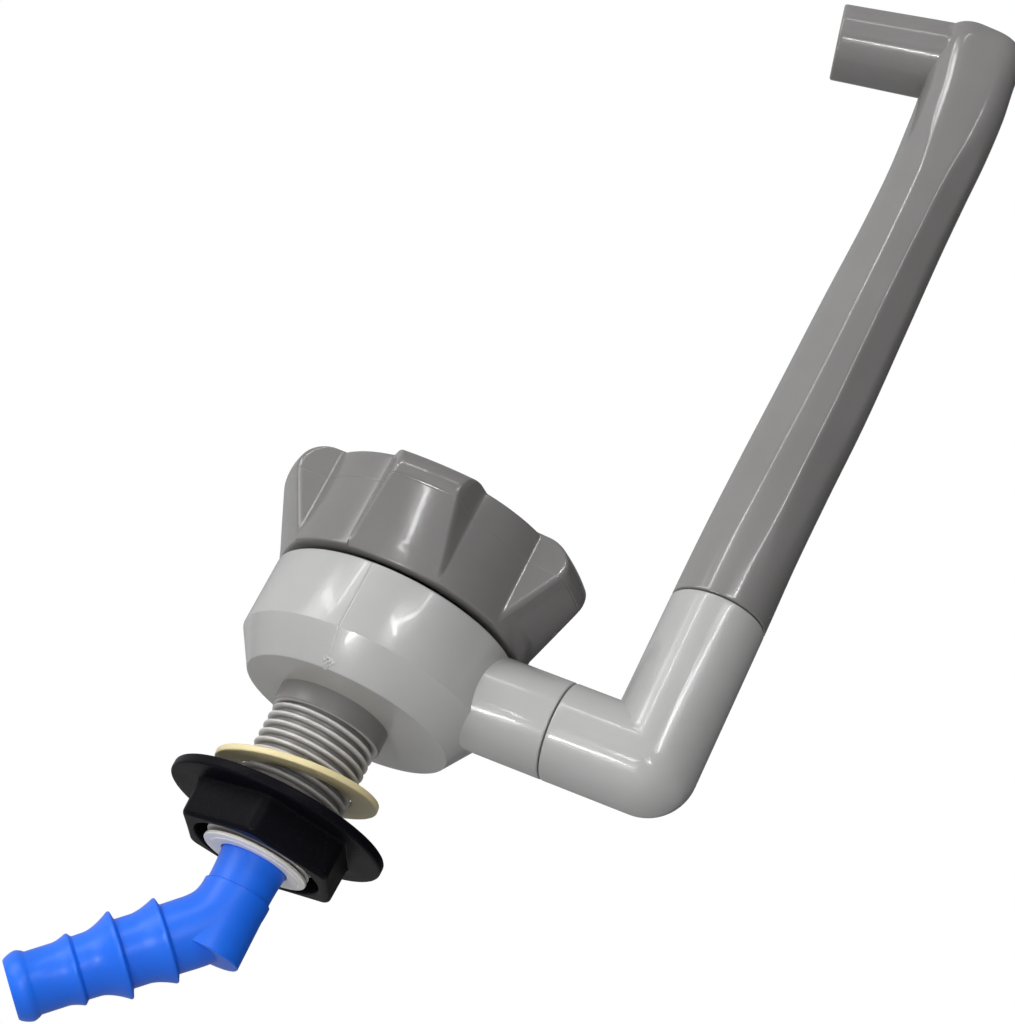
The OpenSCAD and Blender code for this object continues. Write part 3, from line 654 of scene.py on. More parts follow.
@dataclass
class Knob(Piece):
    """Drum with five flared grip pads."""

    name: str = "knob_shell"
    body: str = "knob"
    slot: Slot = Slot.DARK
    stands_for: tuple[str, ...] = ("knob",)
    low: float = 21.9
    height: float = 20.2
    drum_r: float = 26.0
    rim_r: float = 0.8
    pads: int = 5
    first_turn: float = -83.0
    root_half_w: float = 9.1
    face_low: float = 24.6
    flare: float = 24.6
    draft: float = 21.8
    crown_r: float = 50.0
    crown_over: float = 0.1
    pad_round: float = 4.7
    edge_r: float = 0.9
    root_r: float = 0.35
    cavity_r: float = 22.2
    cavity_h: float = 17.0
    cap_r: float = 9.05
    cap_t: float = 1.2
    parting_h: float = 14.0
    parting_depth: float = 0.06
    parting_width: float = 0.1
    foot_r: float = 0.35
    groove_band: float = 0.3
    recess_rim: float = 0.2
    cavity_rim: float = 0.6
    pad_edges: tuple[float, ...] = (12.2, 13.2, 14.2, 15.4, 16.8, 18.2)
    face_half: float = 11.4
    rows: tuple[int, ...] = (5, 22, 13, 4, 26)

    def _face(self, h: Array) -> Array:
        """Distance of a pad's crown from the axis at height h.

        It grows by the flare's tangent and then follows the top rounding's circle.

        Args:
            h: Heights above the knob's lower edge.

        Returns:
            Distances.
        """
        slope = math.tan(math.radians(self.flare))
        top = self.height + self.crown_over
        centre_h = top - self.pad_round
        centre_a = self.face_low + centre_h * slope - self.pad_round / math.cos(math.radians(self.flare))
        touch = centre_h - self.pad_round * math.sin(math.radians(self.flare))
        arc = centre_a + np.sqrt(np.maximum(self.pad_round**2 - (h - centre_h) ** 2, 0.0))
        return np.where(h < touch, self.face_low + h * slope, arc)

    def _radius(self, h: Array, angles: Array) -> Array:
        """Radius of the outside at each height and angle.

        A ray from the axis meets the crowned face of its nearest pad, a circle about a
        point behind the axis, or the pad's slanted side wall, a straight line in plan.
        The lower of the two, rounded, is the pad; the higher of pad and drum is the knob.

        Args:
            h: Heights above the lower edge, as (rows, 1).
            angles: Angles, as (columns,).

        Returns:
            Radii as (rows, columns).
        """
        step = TURN / self.pads
        turn = np.radians(self.first_turn)
        off = np.abs((angles - turn + step / 2.0) % step - step / 2.0)[None]
        cosine, sine = np.cos(off), np.sin(off)
        set_back = self.crown_r - self.face_low
        reach = self._face(h) + set_back
        face = -set_back * cosine + np.sqrt(np.maximum(reach**2 - (set_back * sine) ** 2, 0.0))
        slope = math.tan(math.radians(self.draft))
        root = math.sqrt(self.drum_r**2 - self.root_half_w**2)
        wall = (self.root_half_w + slope * root) / np.maximum(sine + slope * cosine, 1e-3)
        pad = soft_min(face, wall, self.edge_r)
        sunk = np.maximum(h - (self.height - self.rim_r), 0.0)
        drum = self.drum_r - self.rim_r + np.sqrt(np.maximum(self.rim_r**2 - sunk**2, 0.0))
        cut = np.where(np.abs(off) < np.arctan2(self.root_half_w, root), face, 1e3)
        drum = np.minimum(drum, cut)
        groove = self.parting_depth * np.exp(-(((h - self.parting_h) / self.parting_width) ** 2))
        under = 1.0 - np.clip(h / self.foot_r, 0.0, 1.0)
        foot = self.foot_r * (1.0 - np.sqrt(np.maximum(1.0 - under**2, 0.0)))
        return soft_max(drum, pad, self.root_r) - groove - foot

    def _angles(self) -> Array:
        """Column angles, crowded at each pad's edges and roots."""
        root = math.degrees(math.asin(self.root_half_w / self.drum_r))
        edge = np.array(self.pad_edges)
        fine = np.concatenate([
            np.linspace(-0.9, 0.9, 9) + root, (edge[:, None] + np.linspace(-0.5, 0.4, 3)).ravel(),
            np.linspace(0.0, self.face_half, 15), np.linspace(root + 1.6, 180.0 / self.pads, 8)[:-1],
        ])
        fine = np.unique(np.round(fine, 4))
        one = np.unique(np.concatenate([-fine[fine > 0.0], fine]))
        turns = self.first_turn + 360.0 / self.pads * np.arange(self.pads)
        return np.radians(np.sort((one[None] + turns[:, None]).ravel()))

    def shells(self) -> list[Shell]:
        """Outside, top with its cap recess, underside and cavity in one closed sheet.

        Returns:
            One shell.
        """
        angles = self._angles()
        top = self.height
        foot_rows, side_rows, groove_rows, upper_rows, crown_rows = self.rows
        turn = np.linspace(0.0, 1.0, crown_rows) * math.pi / 2.0
        centre = top - self.pad_round
        below, above = self.parting_h - self.groove_band, self.parting_h + self.groove_band
        rise = np.concatenate([
            np.linspace(0.0, self.foot_r, foot_rows)[:-1], np.linspace(self.foot_r, below, side_rows)[:-1],
            self.parting_h + np.linspace(-self.groove_band, self.groove_band, groove_rows),
            np.linspace(above, centre, upper_rows)[1:-1], centre + self.pad_round * np.sin(turn),
        ])
        rise = np.unique(np.clip(rise, 0.0, top))[:, None]
        outside = self._radius(rise, angles)
        rim = outside[-1:]
        inward = np.linspace(1.0, 0.0, 5)[1:, None]
        recess = self.cap_r + self.recess_rim
        bevel = recess + (rim - recess) * inward
        inner = rounded([(recess, top, 0.0), (self.cap_r, top, 0.15),
                         (self.cap_r, top - self.cap_t, 0.1), (0.0, top - self.cap_t, 0.0)])
        under = rounded([(0.0, self.cavity_h, 0.0), (self.cavity_r, self.cavity_h, 0.5),
                         (self.cavity_r, 0.0, 0.25), (self.cavity_r + self.cavity_rim, 0.0, 0.0)])
        flat = np.ones((1, len(angles)))
        radius = np.concatenate([under[:, 0:1] * flat, outside, bevel, inner[:, 0:1] * flat])
        height = np.concatenate([under[:, 1:2], rise, np.full((len(inward), 1), top), inner[:, 1:2]])
        return [height_field(radius, height, angles, (KNOB_AXIS[0], 0.0, self.low))]


@dataclass
class KnobCap(Piece):
    """Cover that closes the knob's screw hole."""

    name: str = "knob_cap_shell"
    body: str = "knob"
    slot: Slot = Slot.DARK
    stands_for: tuple[str, ...] = ("knob_cap",)
    radius: float = 8.95
    thickness: float = 1.2
    top: float = 42.1
    rim_w: float = 1.2
    dish_r: float = 7.05
    dish: float = 0.25
    dimple_rim: float = 1.6
    dimple_r: float = 0.7
    dimple: float = 0.45

    def shells(self) -> list[Shell]:
        """Slightly dished disc with a rounded rim and a centre dimple."""
        low, dished, deep = (self.top - down for down in (self.thickness, self.dish, self.dimple))
        outline = rounded([(0.0, low, 0.0), (self.radius, low, 0.1), (self.radius, self.top, 0.25),
                           (self.radius - self.rim_w, self.top, 0.4), (self.dish_r, dished, 0.4),
                           (self.dimple_rim, dished, 0.5), (self.dimple_r, deep, 0.3), (0.0, deep, 0.0)])
        return [revolve(outline, around(self.columns), KNOB_AXIS)]


@dataclass
class Elbow(Piece):
    """Folding elbow between boss and spout, round outside its corner and creased inside."""

    name: str = "elbow_shell"
    body: str = "elbow"
    slot: Slot = Slot.LIGHT
    stands_for: tuple[str, ...] = ("elbow",)
    corner: Vector = (58.1, 0.0, 12.2)
    to_boss: Vector = (-1.0, 0.0, 0.0)
    to_spout: Vector = (0.0, 0.0, 1.0)
    corner_r: float = 9.4
    columns: int = 160
    arm_len: float = 17.45
    upright: float = 32.25
    spigot_r: float = 6.5
    spigot_len: float = 9.0
    socket_r: float = 6.6
    socket_depth: float = 12.0
    rim_r: float = 0.32
    arm_rows: int = 14
    upright_rows: int = 18
    bend_rows: int = 22

    def shells(self) -> list[Shell]:
        """Spigot, arm, corner, upright and socket in one closed sheet."""
        far, up = self.arm_len, self.upright
        start = rounded([(0.0, far + self.spigot_len, 0.0), (self.spigot_r, far + self.spigot_len, 0.5),
                         (self.spigot_r, far, 0.1), (self.corner_r, far, self.rim_r),
                         (self.corner_r, far - 1.0, 0.0)])
        stop = rounded([(self.corner_r, up - 1.0, 0.0), (self.corner_r, up, self.rim_r),
                        (self.socket_r, up, 0.25), (self.socket_r, up - self.socket_depth, 0.1),
                        (0.0, up - self.socket_depth, 0.0)])
        start = np.concatenate([start, self._straight(far - 2.0, 0.0, self.arm_rows)])
        stop = np.concatenate([self._straight(0.0, up - 2.0, self.upright_rows), stop])
        return [self._tube(start, stop)]

    def _straight(self, begin: float, end: float, count: int) -> Array:
        """Rows (radius, distance) of a plain stretch of an arm."""
        return np.stack([np.full(count, self.corner_r), np.linspace(begin, end, count)], 1)

    def _tube(self, start: Array, stop: Array) -> Shell:
        """Closed sheet over both arms, ending in each arm's outline.

        On the inner side both arms end on the plane halfway between them, at
        r cos(t) / tan(half the angle). On the outer side a ring of radius r turns
        about the corner from one arm's outer direction to the other's.

        Args:
            start: Outline (radius, distance from the corner) of the boss's arm, inwards.
            stop: Outline of the upright arm, from the corner outwards.

        Returns:
            Points and faces.
        """
        a, b = unit(self.to_boss), unit(self.to_spout)
        normal = unit(np.cross(a, b))
        inner_a, inner_b = unit(b - a * (a @ b)), unit(a - b * (a @ b))
        half = math.acos(float(a @ b)) / 2.0
        t = around(self.columns)
        inward, across = np.cos(t), np.sin(t)[:, None] * normal
        crease = self.corner_r * np.maximum(inward, 0.0) / math.tan(half)
        centre = np.asarray(self.corner, float)

        def arm(direction: Array, inner: Array, outline: Array) -> Array:
            """Rings of one arm, squeezed so that they end on the crease."""
            distance = np.maximum(outline[:, 1:2], crease[None])[..., None]
            ring = inward[:, None] * inner + across
            return centre + distance * direction + outline[:, 0, None, None] * ring

        swing = np.linspace(0.0, math.pi - 2.0 * half, self.bend_rows)[1:-1, None]
        out = -np.cos(swing) * inner_a + np.sin(swing) * -a
        outward = -np.minimum(inward, 0.0)[None, :, None]
        ball = centre + self.corner_r * (outward * out[:, None, :] + across[None])
        edge = centre + crease[:, None] * a + self.corner_r * (inward[:, None] * inner_a + across)
        ball = np.where(inward[None, :, None] > 0.0, edge[None], ball)
        points = np.concatenate([arm(a, inner_a, start), ball, arm(b, inner_b, stop)])
        return points.reshape(-1, 3), grid_quads(len(points), self.columns)


@dataclass(frozen=True)
class Facet:
    """Flatter side of the spout: where it faces, and its level at each facet height."""

    turn: float
    levels: tuple[float, ...]


@dataclass
class Spout(Piece):
    """Swivelling spout, round at its seam and flatter in front towards the nozzle."""

    name: str = "spout_shell"
    body: str = "spout"
    slot: Slot = Slot.DARK
    # Brighter copy of the dark grey: painted light.
    finish: Finish | None = Look.SPOUT_PAINTED_LIGHT
    stands_for: tuple[str, ...] = ("spout",)
    seam: float = 44.75
    seam_r: float = 9.4
    seam_x: float = 58.1
    top_y: float = 0.167
    side: tuple[float, float] = (0.975, 0.223)
    stations: tuple[tuple[float, float, float, float, float], ...] = (
        (45.4, 0.0, 9.4, 9.4, 2.0), (60.0, 0.0, 9.3, 9.25, 2.0), (75.0, 0.3, 9.25, 9.05, 2.0),
        (93.0, 0.85, 9.2, 8.85, 2.0), (116.0, 1.15, 8.85, 8.6, 2.0), (139.0, 1.5, 8.4, 8.4, 2.1),
        (150.0, 1.6, 8.45, 8.45, 2.3), (160.0, 1.5, 8.75, 8.6, 2.6), (170.0, 1.1, 8.95, 8.75, 2.95),
        (182.0, -0.1, 9.25, 8.8, 3.1))
    facet_heights: tuple[float, ...] = (46.0, 60.0, 80.0, 135.0, 150.0, 175.0)
    facets: tuple[Facet, ...] = (
        Facet(-38.0, (1.03, 0.99, 0.955, 0.955, 0.985, 1.2)),
        Facet(-1.0, (1.03, 0.99, 0.968, 0.965, 0.975, 1.0)),
        Facet(34.0, (1.03, 0.99, 0.955, 0.955, 0.985, 1.2)))
    facet_edge: float = 0.03
    dome: float = 2.3
    cap_h: float = 7.9
    nozzle_from: Vector = (59.29, 0.55, 182.195)
    nozzle_dir: Vector = (-0.967904, -0.13603, -0.211325)
    root_r: float = 8.3
    root_len: float = 3.5
    nozzle_len: float = 30.2
    nozzle_r: float = 7.92
    taper_over: float = 4.0
    bore_r: float = 5.6
    bore_h: float = 14.0
    spigot_r: float = 6.5
    spigot_len: float = 9.0
    rim_r: float = 0.32
    rows: int = 124
    cap_rows: int = 24
    columns: int = 176
    nozzle_columns: int = 160

    def shells(self) -> list[Shell]:
        """Shaft with its spigot and rounded top, and the nozzle."""
        return [self._shaft(), self._nozzle()]

    def _shaft(self) -> Shell:
        """Closed sheet of sections stacked from the spigot to the rounded top.

        A section is a squared ellipse about the shifted axis, cut back by the facets; at
        the share s of the cap's height the last section shrinks to (1 - s^m)^(1/m).

        Returns:
            Points and faces.
        """
        t = around(self.columns)
        low = self.seam - self.spigot_len
        foot = rounded([(0.0, low, 0.0), (self.spigot_r, low, 0.5), (self.spigot_r, self.seam, 0.1),
                        (self.seam_r, self.seam, self.rim_r), (self.seam_r, self.seam + 0.6, 0.0)])
        table = np.asarray(self.stations)
        z = np.linspace(table[0, 0], table[-1, 0], self.rows)
        lift = np.linspace(0.0, math.pi / 2.0, self.cap_rows)[1:]
        rise, drawn_in = np.sin(lift) ** (2.0 / self.dome), np.cos(lift) ** (2.0 / self.dome)
        shrink = np.concatenate([np.ones(len(z)), drawn_in])
        height = np.concatenate([z, table[-1, 0] + self.cap_h * rise])
        place = np.minimum(height, table[-1, 0])
        shift, half, deep, square = (spline(table[:, 0], table[:, k], place)[:, None] for k in (1, 2, 3, 4))
        factor = self._section(t, place, shrink, square) * shrink[:, None]
        sideways = np.concatenate([foot[:, 0:1] * np.sin(t), shift + half * factor * np.sin(t)])
        forwards = np.concatenate([foot[:, 0:1] * np.cos(t), deep * factor * np.cos(t)])
        height = np.concatenate([foot[:, 1], height])[:, None]
        side = unit([*self.side, 0.0])
        front = np.array([side[1], -side[0], 0.0])
        middle = smooth_step(self.seam, table[-1, 0], height) * self.top_y
        points = sideways[..., None] * side + forwards[..., None] * front
        points[..., 0] += self.seam_x
        points[..., 1] += middle
        points[..., 2] = height
        return points.reshape(-1, 3), grid_quads(len(points), len(t))

    def _section(self, t: Array, place: Array, shrink: Array, square: Array) -> Array:
        """Share of the ellipse's radius at each height and angle.

        Squared by the power n it is (cos^n + sin^n)^(-1/n), up to a facet at level p,
        which lies at p / cos of the angle from its middle.

        Args:
            t: Angles from the front, growing to the right.
            place: Heights of the rows.
            shrink: Size of each row against its full section; not used.
            square: Power of each row, 2 for an ellipse.

        Returns:
            Shares as (rows, columns).
        """
        share = (np.abs(np.cos(t)) ** square + np.abs(np.sin(t)) ** square) ** (-1.0 / square)
        for facet in self.facets:
            level = spline(np.asarray(self.facet_heights), np.asarray(facet.levels), place)
            facing = np.maximum(np.cos(t - math.radians(facet.turn)), 0.2)
            share = soft_min(share, level[:, None] / facing[None], self.facet_edge)
        return share

    def _nozzle(self) -> Shell:
        """Nozzle outline turned about its own axis: rounded root, taper, lip and bore."""
        share = np.linspace(0.0, 1.0, 12)
        root = np.stack([self.root_r * np.sqrt(1.0 - (1.0 - share) ** 2), share * self.root_len], 1)
        end = self.nozzle_len
        run = np.linspace(self.root_len + 0.8, end - 1.0, 24)
        gone = smooth_step(self.taper_over, end + self.taper_over, run)
        taper = self.root_r + (self.nozzle_r - self.root_r) * gone
        lip = rounded([(taper[-1], end - 1.0, 0.0), (self.nozzle_r, end, 0.5), (self.bore_r, end, 0.35),
                       (self.bore_r, end - self.bore_h, 0.3), (0.0, end - self.bore_h, 0.0)])
        outline = np.concatenate([root, np.stack([taper, run], 1), lip[1:]])
        return revolve(outline, around(self.nozzle_columns), self.nozzle_from, self.nozzle_dir)


@dataclass
class ThreadedTail(Piece):
    """Tail with a smooth collar and a thread."""

    name: str = "threaded_tail_shell"
    body: str = "body"
    slot: Slot = Slot.TAIL
    stands_for: tuple[str, ...] = ("threaded_tail",)
    collar_r: float = 11.0
    collar_low: float = -3.9
    crest_r: float = 10.4775
    depth: float = 1.16
    pitch: float = 1.8143
    end: float = -31.4
    plug_r: float = 9.0
    plug_top: float = 3.0
    collar_top: float = 0.38
    end_bore_r: float = 8.2
    end_bore_h: float = 6.0
    stem_bore_r: float = 6.9
    stem_bore_h: float = 20.0
    rows_in_pitch: float = 18.0
    first_row: float = 0.25
    last_row: float = 0.12
    run_out: tuple[float, float] = (0.1, 0.9)
    end_fade: float = 0.75
    rounding: float = 0.2
    root_share: float = 0.34
    flank_share: float = 0.44
    columns: int = 150

    def shells(self) -> list[Shell]:
        """Thread as a height field over angle and height, closed by plug and bore.

        Radius = core + depth x ridge, with the ridge a clipped and slightly rounded
        triangle wave of height / pitch + angle / turn, faded at both run-outs.

        Returns:
            One shell.
        """
        angles = around(self.columns)
        first, last = self.collar_low - self.first_row, self.end + self.last_row
        z = np.arange(first, last, -self.pitch / self.rows_in_pitch)[:, None]
        phase = (z / self.pitch + angles[None] / TURN) % 1.0
        flank = np.clip((np.abs(phase - 0.5) * 2.0 - self.root_share) / self.flank_share, 0.0, 1.0)
        ridge = flank * (1.0 - self.rounding) + self.rounding * flank * flank * (3.0 - 2.0 * flank)
        near, far = self.run_out
        fade = (smooth_step(self.collar_low - near, self.collar_low - far, z)
                * (1.0 - self.end_fade * smooth_step(self.end + far, self.end + near, z)))
        core = self.crest_r - self.depth
        thread = core + self.depth * ridge * fade
        top = rounded([(0.0, self.plug_top, 0.0), (self.plug_r, self.plug_top, 0.2),
                       (self.plug_r, self.collar_top, 0.1), (self.collar_r, self.collar_top, 0.1),
                       (self.collar_r, self.collar_low, 0.3), (core, self.collar_low, 0.0)])
        bore, stem = self.end + self.end_bore_h, self.end + self.stem_bore_h
        low = rounded([(core, self.end, 0.0), (self.end_bore_r, self.end, 0.2), (self.end_bore_r, bore, 0.1),
                       (self.stem_bore_r, bore, 0.1), (self.stem_bore_r, stem, 0.2), (0.0, stem, 0.0)])
        flat = np.ones((1, len(angles)))
        radius = np.concatenate([top[:, 0:1] * flat, thread, low[:, 0:1] * flat])
        height = np.concatenate([top[:, 1:2], z, low[:, 1:2]])
        return [height_field(radius, height, angles)]


@dataclass
class RetainingRing(Piece):
    """Pale ring in the tail's end, with a fine step on its face."""

    name: str = "retaining_ring_shell"
    body: str = "body"
    slot: Slot = Slot.RING
    stands_for: tuple[str, ...] = ("retaining_ring",)
    top: float = -31.4
    low: float = -32.2
    outer_r: float = 10.3
    plug_r: float = 8.2
    plug_h: float = 3.5
    bore_r: float = 6.6
    step_r: float = 8.75
    step_h: float = 0.14

    def shells(self) -> list[Shell]:
        """Closed ring section turned about the tail's axis."""
        high, step = self.top + self.plug_h, self.low + self.step_h
        outline = rounded([(self.bore_r, self.top, 0.0), (self.bore_r, self.low, 0.18),
                           (self.step_r - 0.15, self.low, 0.08), (self.step_r, step, 0.05),
                           (self.outer_r, step, 0.22), (self.outer_r, self.top, 0.1),
                           (self.plug_r, self.top, 0.05), (self.plug_r, high, 0.2),
                           (self.bore_r, high, 0.2), (self.bore_r, self.top, 0.0)])
        return [revolve(outline, around(self.columns))]


@dataclass
class ClampWasher(Piece):
    """Loose flat washer that leans on the thread."""

    name: str = "clamp_washer_shell"
    body: str = "washer"
    slot: Slot = Slot.IVORY
    stands_for: tuple[str, ...] = ("clamp_washer",)
    outer_r: float = 15.8
    bore_r: float = 10.75
    thickness: float = 1.3
    drop: float = 15.3
    tilt: float = 7.7
    lean: float = -149.0
    columns: int = 144

    def shells(self) -> list[Shell]:
        """Rounded ring section turned about the leaning axis."""
        half = self.thickness / 2.0
        outline = rounded([(self.bore_r, 0.0, 0.0), (self.bore_r, -half, 0.22),
                           (self.outer_r, -half, 0.3), (self.outer_r, half, 0.3),
                           (self.bore_r, half, 0.22), (self.bore_r, 0.0, 0.0)])
        tilt, lean = math.radians(self.tilt), math.radians(self.lean)
        axis = (math.sin(tilt) * math.cos(lean), math.sin(tilt) * math.sin(lean), math.cos(tilt))
        return [revolve(outline, around(self.columns), (0.0, 0.0, -self.drop), axis)]


@dataclass
class ClampNut(Piece):
    """Flanged hexagonal nut, hollow underneath."""

    name: str = "clamp_nut_shell"
    body: str = "nut"
    slot: Slot = Slot.BLACK
    stands_for: tuple[str, ...] = ("clamp_nut",)
    flange_r: float = 21.3
    flange_t: float = 2.0
    top: float = -22.1
    hex_r: float = 17.0
    hex_h: float = 7.4
    turn: float = 39.0
    hollow_r: float = 12.6
    hollow_h: float = 3.5
    bore_r: float = 10.55
    corner_r: float = 1.6
    draft: float = 0.35
    hex_rim: float = 1.6
    flange_rim: float = 2.0
    hollow_rim: float = 0.5
    hollow_draft: float = 0.25
    fillet: tuple[tuple[float, float], ...] = ((0.55, 0.0), (0.2, 0.06), (0.05, 0.25))
    columns: int = 240

    def _hexagon(self, angles: Array) -> Array:
        """Distance to the hexagon's side, with its corners rounded.

        A side lies at the apothem over the cosine of the angle from its middle, and
        two neighbouring sides meet in a soft minimum.

        Args:
            angles: Column angles.

        Returns:
            Distances as (1, columns).
        """
        step = TURN / 6.0
        apothem = self.hex_r * math.cos(step / 2.0)
        off = (angles - math.radians(self.turn)) % step - step / 2.0
        near = apothem / np.cos(off)
        beyond = apothem / np.maximum(np.cos(np.abs(off) - step), 0.2)
        return soft_min(near, beyond, self.corner_r)[None]

    def shells(self) -> list[Shell]:
        """Round rows for flange, hollow and bore, and hexagonal rows between them.

        A hexagonal row's radius is the rounded hexagon plus the fillet's widening or less the lower edge's
        inset.

        Returns:
            One shell.
        """
        angles = around(self.columns)
        foot = self.top - self.flange_t
        low = foot - self.hex_h
        upper = rounded([(self.bore_r, self.top, 0.0), (self.flange_r, self.top, 0.45),
                         (self.flange_r, foot, 0.45), (self.flange_r - self.flange_rim, foot, 0.0)])
        edge = rounded([(0.0, foot, 0.0), (0.12, foot - 0.4, 0.2), (self.draft, low, 0.95),
                        (self.hex_rim, low, 0.0)])
        deep = low + self.hollow_h
        lower = rounded([(self.hollow_r + self.hollow_rim, low, 0.0), (self.hollow_r, low, 0.35),
                         (self.hollow_r - self.hollow_draft, deep, 0.3), (self.bore_r, deep, 0.2),
                         (self.bore_r, self.top, 0.0)])
        hexagon, fillet = self._hexagon(angles), np.array(self.fillet)
        flat = np.ones_like(hexagon)
        radius = np.concatenate([upper[:, 0:1] * flat, hexagon + fillet[:, 0:1], hexagon - edge[:, 0:1],
                                 lower[:, 0:1] * flat])
        height = np.concatenate([upper[:, 1:2], foot - fillet[:, 1:2], edge[:, 1:2], lower[:, 1:2]])
        return [height_field(radius, height, angles)]


@dataclass
class HoseElbow(Piece):
    """Swivelling fitting with a barbed tail for a hose."""

    name: str = "hose_elbow_shell"
    body: str = "hose"
    slot: Slot = Slot.BLUE
    stands_for: tuple[str, ...] = ("hose_elbow",)
    neck_top: float = -20.0
    neck_r: float = 6.5
    neck_low: float = -31.0
    waist_z: float = -38.4
    waist_r: float = 6.05
    waist_gap: float = 0.12
    bend_r: float = 6.45
    bend_start: float = -38.6
    bend_len: float = 6.0
    bend_pull: float = 0.3975
    stub_r: float = 6.3
    stub_tip_r: float = 6.45
    stub_top: float = -40.1
    stub_low: float = -50.8
    bend_z: float = -44.4
    tail_dir: Vector = (-0.6830127, -0.1830127, -0.7071068)
    root_r: float = 6.4
    lead: Vector = (6.3, 9.2, 9.4)
    run: float = 38.3
    tip_r: float = 5.2
    bore_r: float = 4.0
    bore_h: float = 16.0
    barbs: tuple[tuple[float, float, float, float, float], ...] = (
        (10.35, 7.8, 6.4, 6.35, 4.4), (18.6, 8.0, 6.35, 5.8, 4.8), (26.6, 6.5, 5.75, 5.7, 2.6))
    barb_foot: tuple[tuple[float, float], ...] = ((0.0, -0.75), (0.12, -0.6))
    barb_crest: tuple[tuple[float, float], ...] = ((-0.25, -0.26), (-0.05, -0.12), (0.0, 0.06))
    barb_edge: float = 0.25
    barb_power: float = 1.55
    barb_rows: int = 9
    neck_rows: int = 14
    bend_rows: int = 26
    lead_rows: int = 6
    bead: tuple[tuple[float, float], ...] = (
        (5.7, 34.3), (6.0, 34.75), (6.28, 35.35), (6.4, 35.9), (6.3, 36.5), (6.0, 37.3), (5.65, 37.95),
        (5.3, 38.3))

    def shells(self) -> list[Shell]:
        """Stem with its bend and barbed tail, and the cut stub."""
        return [self._pipe(), self._stub()]

    def _pipe(self) -> Shell:
        """Closed sheet swept along the stem, a bend and the tail.

        Between the stem's end and the tail's start the path is the cubic with those two
        places and directions; ring point = path + r (cos t across + sin t normal).

        Returns:
            Points and faces.
        """
        down, out = np.array([0.0, 0.0, -1.0]), unit(self.tail_dir)
        knee = np.array([0.0, 0.0, self.bend_z])
        stem, tail = self._stem(), self._tail()
        share = np.linspace(0.0, 1.0, self.bend_rows)[1:-1, None]
        begin, end = np.array([0.0, 0.0, self.bend_start]), knee + self.bend_len * out
        pull = self.bend_pull * np.linalg.norm(end - begin)
        a, b = begin + pull * down, end - pull * out
        bend = ((1 - share) ** 3 * begin + 3 * share * (1 - share) ** 2 * a
                + 3 * share**2 * (1 - share) * b + share**3 * end)
        way = (3 * (1 - share) ** 2 * (a - begin) + 6 * share * (1 - share) * (b - a)
               + 3 * share**2 * (end - b))
        way /= np.linalg.norm(way, axis=1)[:, None]
        path = np.concatenate([stem[:, 1:2] * -down, bend, knee + tail[:, 1:2] * out])
        way = np.concatenate([np.tile(down, (len(stem), 1)), way, np.tile(out, (len(tail), 1))])
        radius = np.concatenate([stem[:, 0], np.full(len(bend), self.bend_r), tail[:, 0]])
        normal = unit(np.cross(down, out))
        across = np.cross(normal, way)
        t = around(self.columns)
        ring = np.cos(t)[None, :, None] * across[:, None, :] + np.sin(t)[None, :, None] * normal
        points = path[:, None, :] + radius[:, None, None] * ring
        return points.reshape(-1, 3), grid_quads(len(points), len(t))

    def _stem(self) -> Array:
        """Outline (radius, height) of the concave neck down to the shoulder."""
        z = np.linspace(self.neck_low, self.waist_z + self.waist_gap, self.neck_rows)
        share = (z - z[0]) / (z[-1] - z[0])
        neck = self.neck_r + (self.waist_r - self.neck_r) * np.sin(share * math.pi / 2.0)
        shoulder = rounded([(self.waist_r, self.waist_z, 0.0), (self.bend_r, self.waist_z - 0.02, 0.12),
                            (self.bend_r, self.waist_z - 0.8, 0.0)])[1:-1]
        upper = np.array([(0.0, self.neck_top), (self.neck_r, self.neck_top)])
        return np.concatenate([upper, np.stack([neck, z], 1), shoulder])

    def _stub(self) -> Shell:
        """Straight stub below the bend, slightly tapered and cut flat."""
        outline = rounded([(0.0, self.stub_top, 0.0), (self.stub_r, self.stub_top, 0.2),
                           (self.stub_tip_r, self.stub_low, 0.3), (0.0, self.stub_low, 0.0)])
        return revolve(outline, around(self.columns))

    def _barb(self, crest: float, crest_r: float, root: float, tip: float, slope: float) -> Array:
        """Outline of one barb: steep step, narrow crest and hollow slope to the tip.

        Args:
            crest: Distance of the crest along the tail.
            crest_r: Radius of the crest.
            root: Radius before the step.
            tip: Radius after the slope.
            slope: Length of the slope.

        Returns:
            Outline points (radius, distance).
        """
        share = np.linspace(0.0, 1.0, self.barb_rows)
        hollow = tip + (crest_r - tip) * (1.0 - share) ** self.barb_power
        foot = np.array(self.barb_foot) + (root, crest)
        edge = np.array(self.barb_crest) + (crest_r, crest)
        return np.concatenate([foot, edge, np.stack([hollow, crest + self.barb_edge + share * slope], 1)])

    def _tail(self) -> Array:
        """Outline (radius, distance) of the barbs, the bead and the open bore."""
        first, last, end = self.lead
        run = np.linspace(first, last, self.lead_rows)
        lead = self.bend_r + (self.root_r - self.bend_r) * smooth_step(self.bend_len, end, run)
        bore = rounded([(self.tip_r, self.run, 0.0), (self.bore_r, self.run, 0.3),
                        (self.bore_r, self.run - self.bore_h, 0.3), (0.0, self.run - self.bore_h, 0.0)])
        barbs = [self._barb(*barb) for barb in self.barbs]
        return np.concatenate([np.stack([lead, run], 1), *barbs, np.array(self.bead), bore])


# --------------------------------------------------------------------- studio


@dataclass(frozen=True)
class Strip:
    """Long narrow lamp between two points, in metres, with its brightness."""

    name: str
    start: Vector
    end: Vector
    width: float
    radiance: float


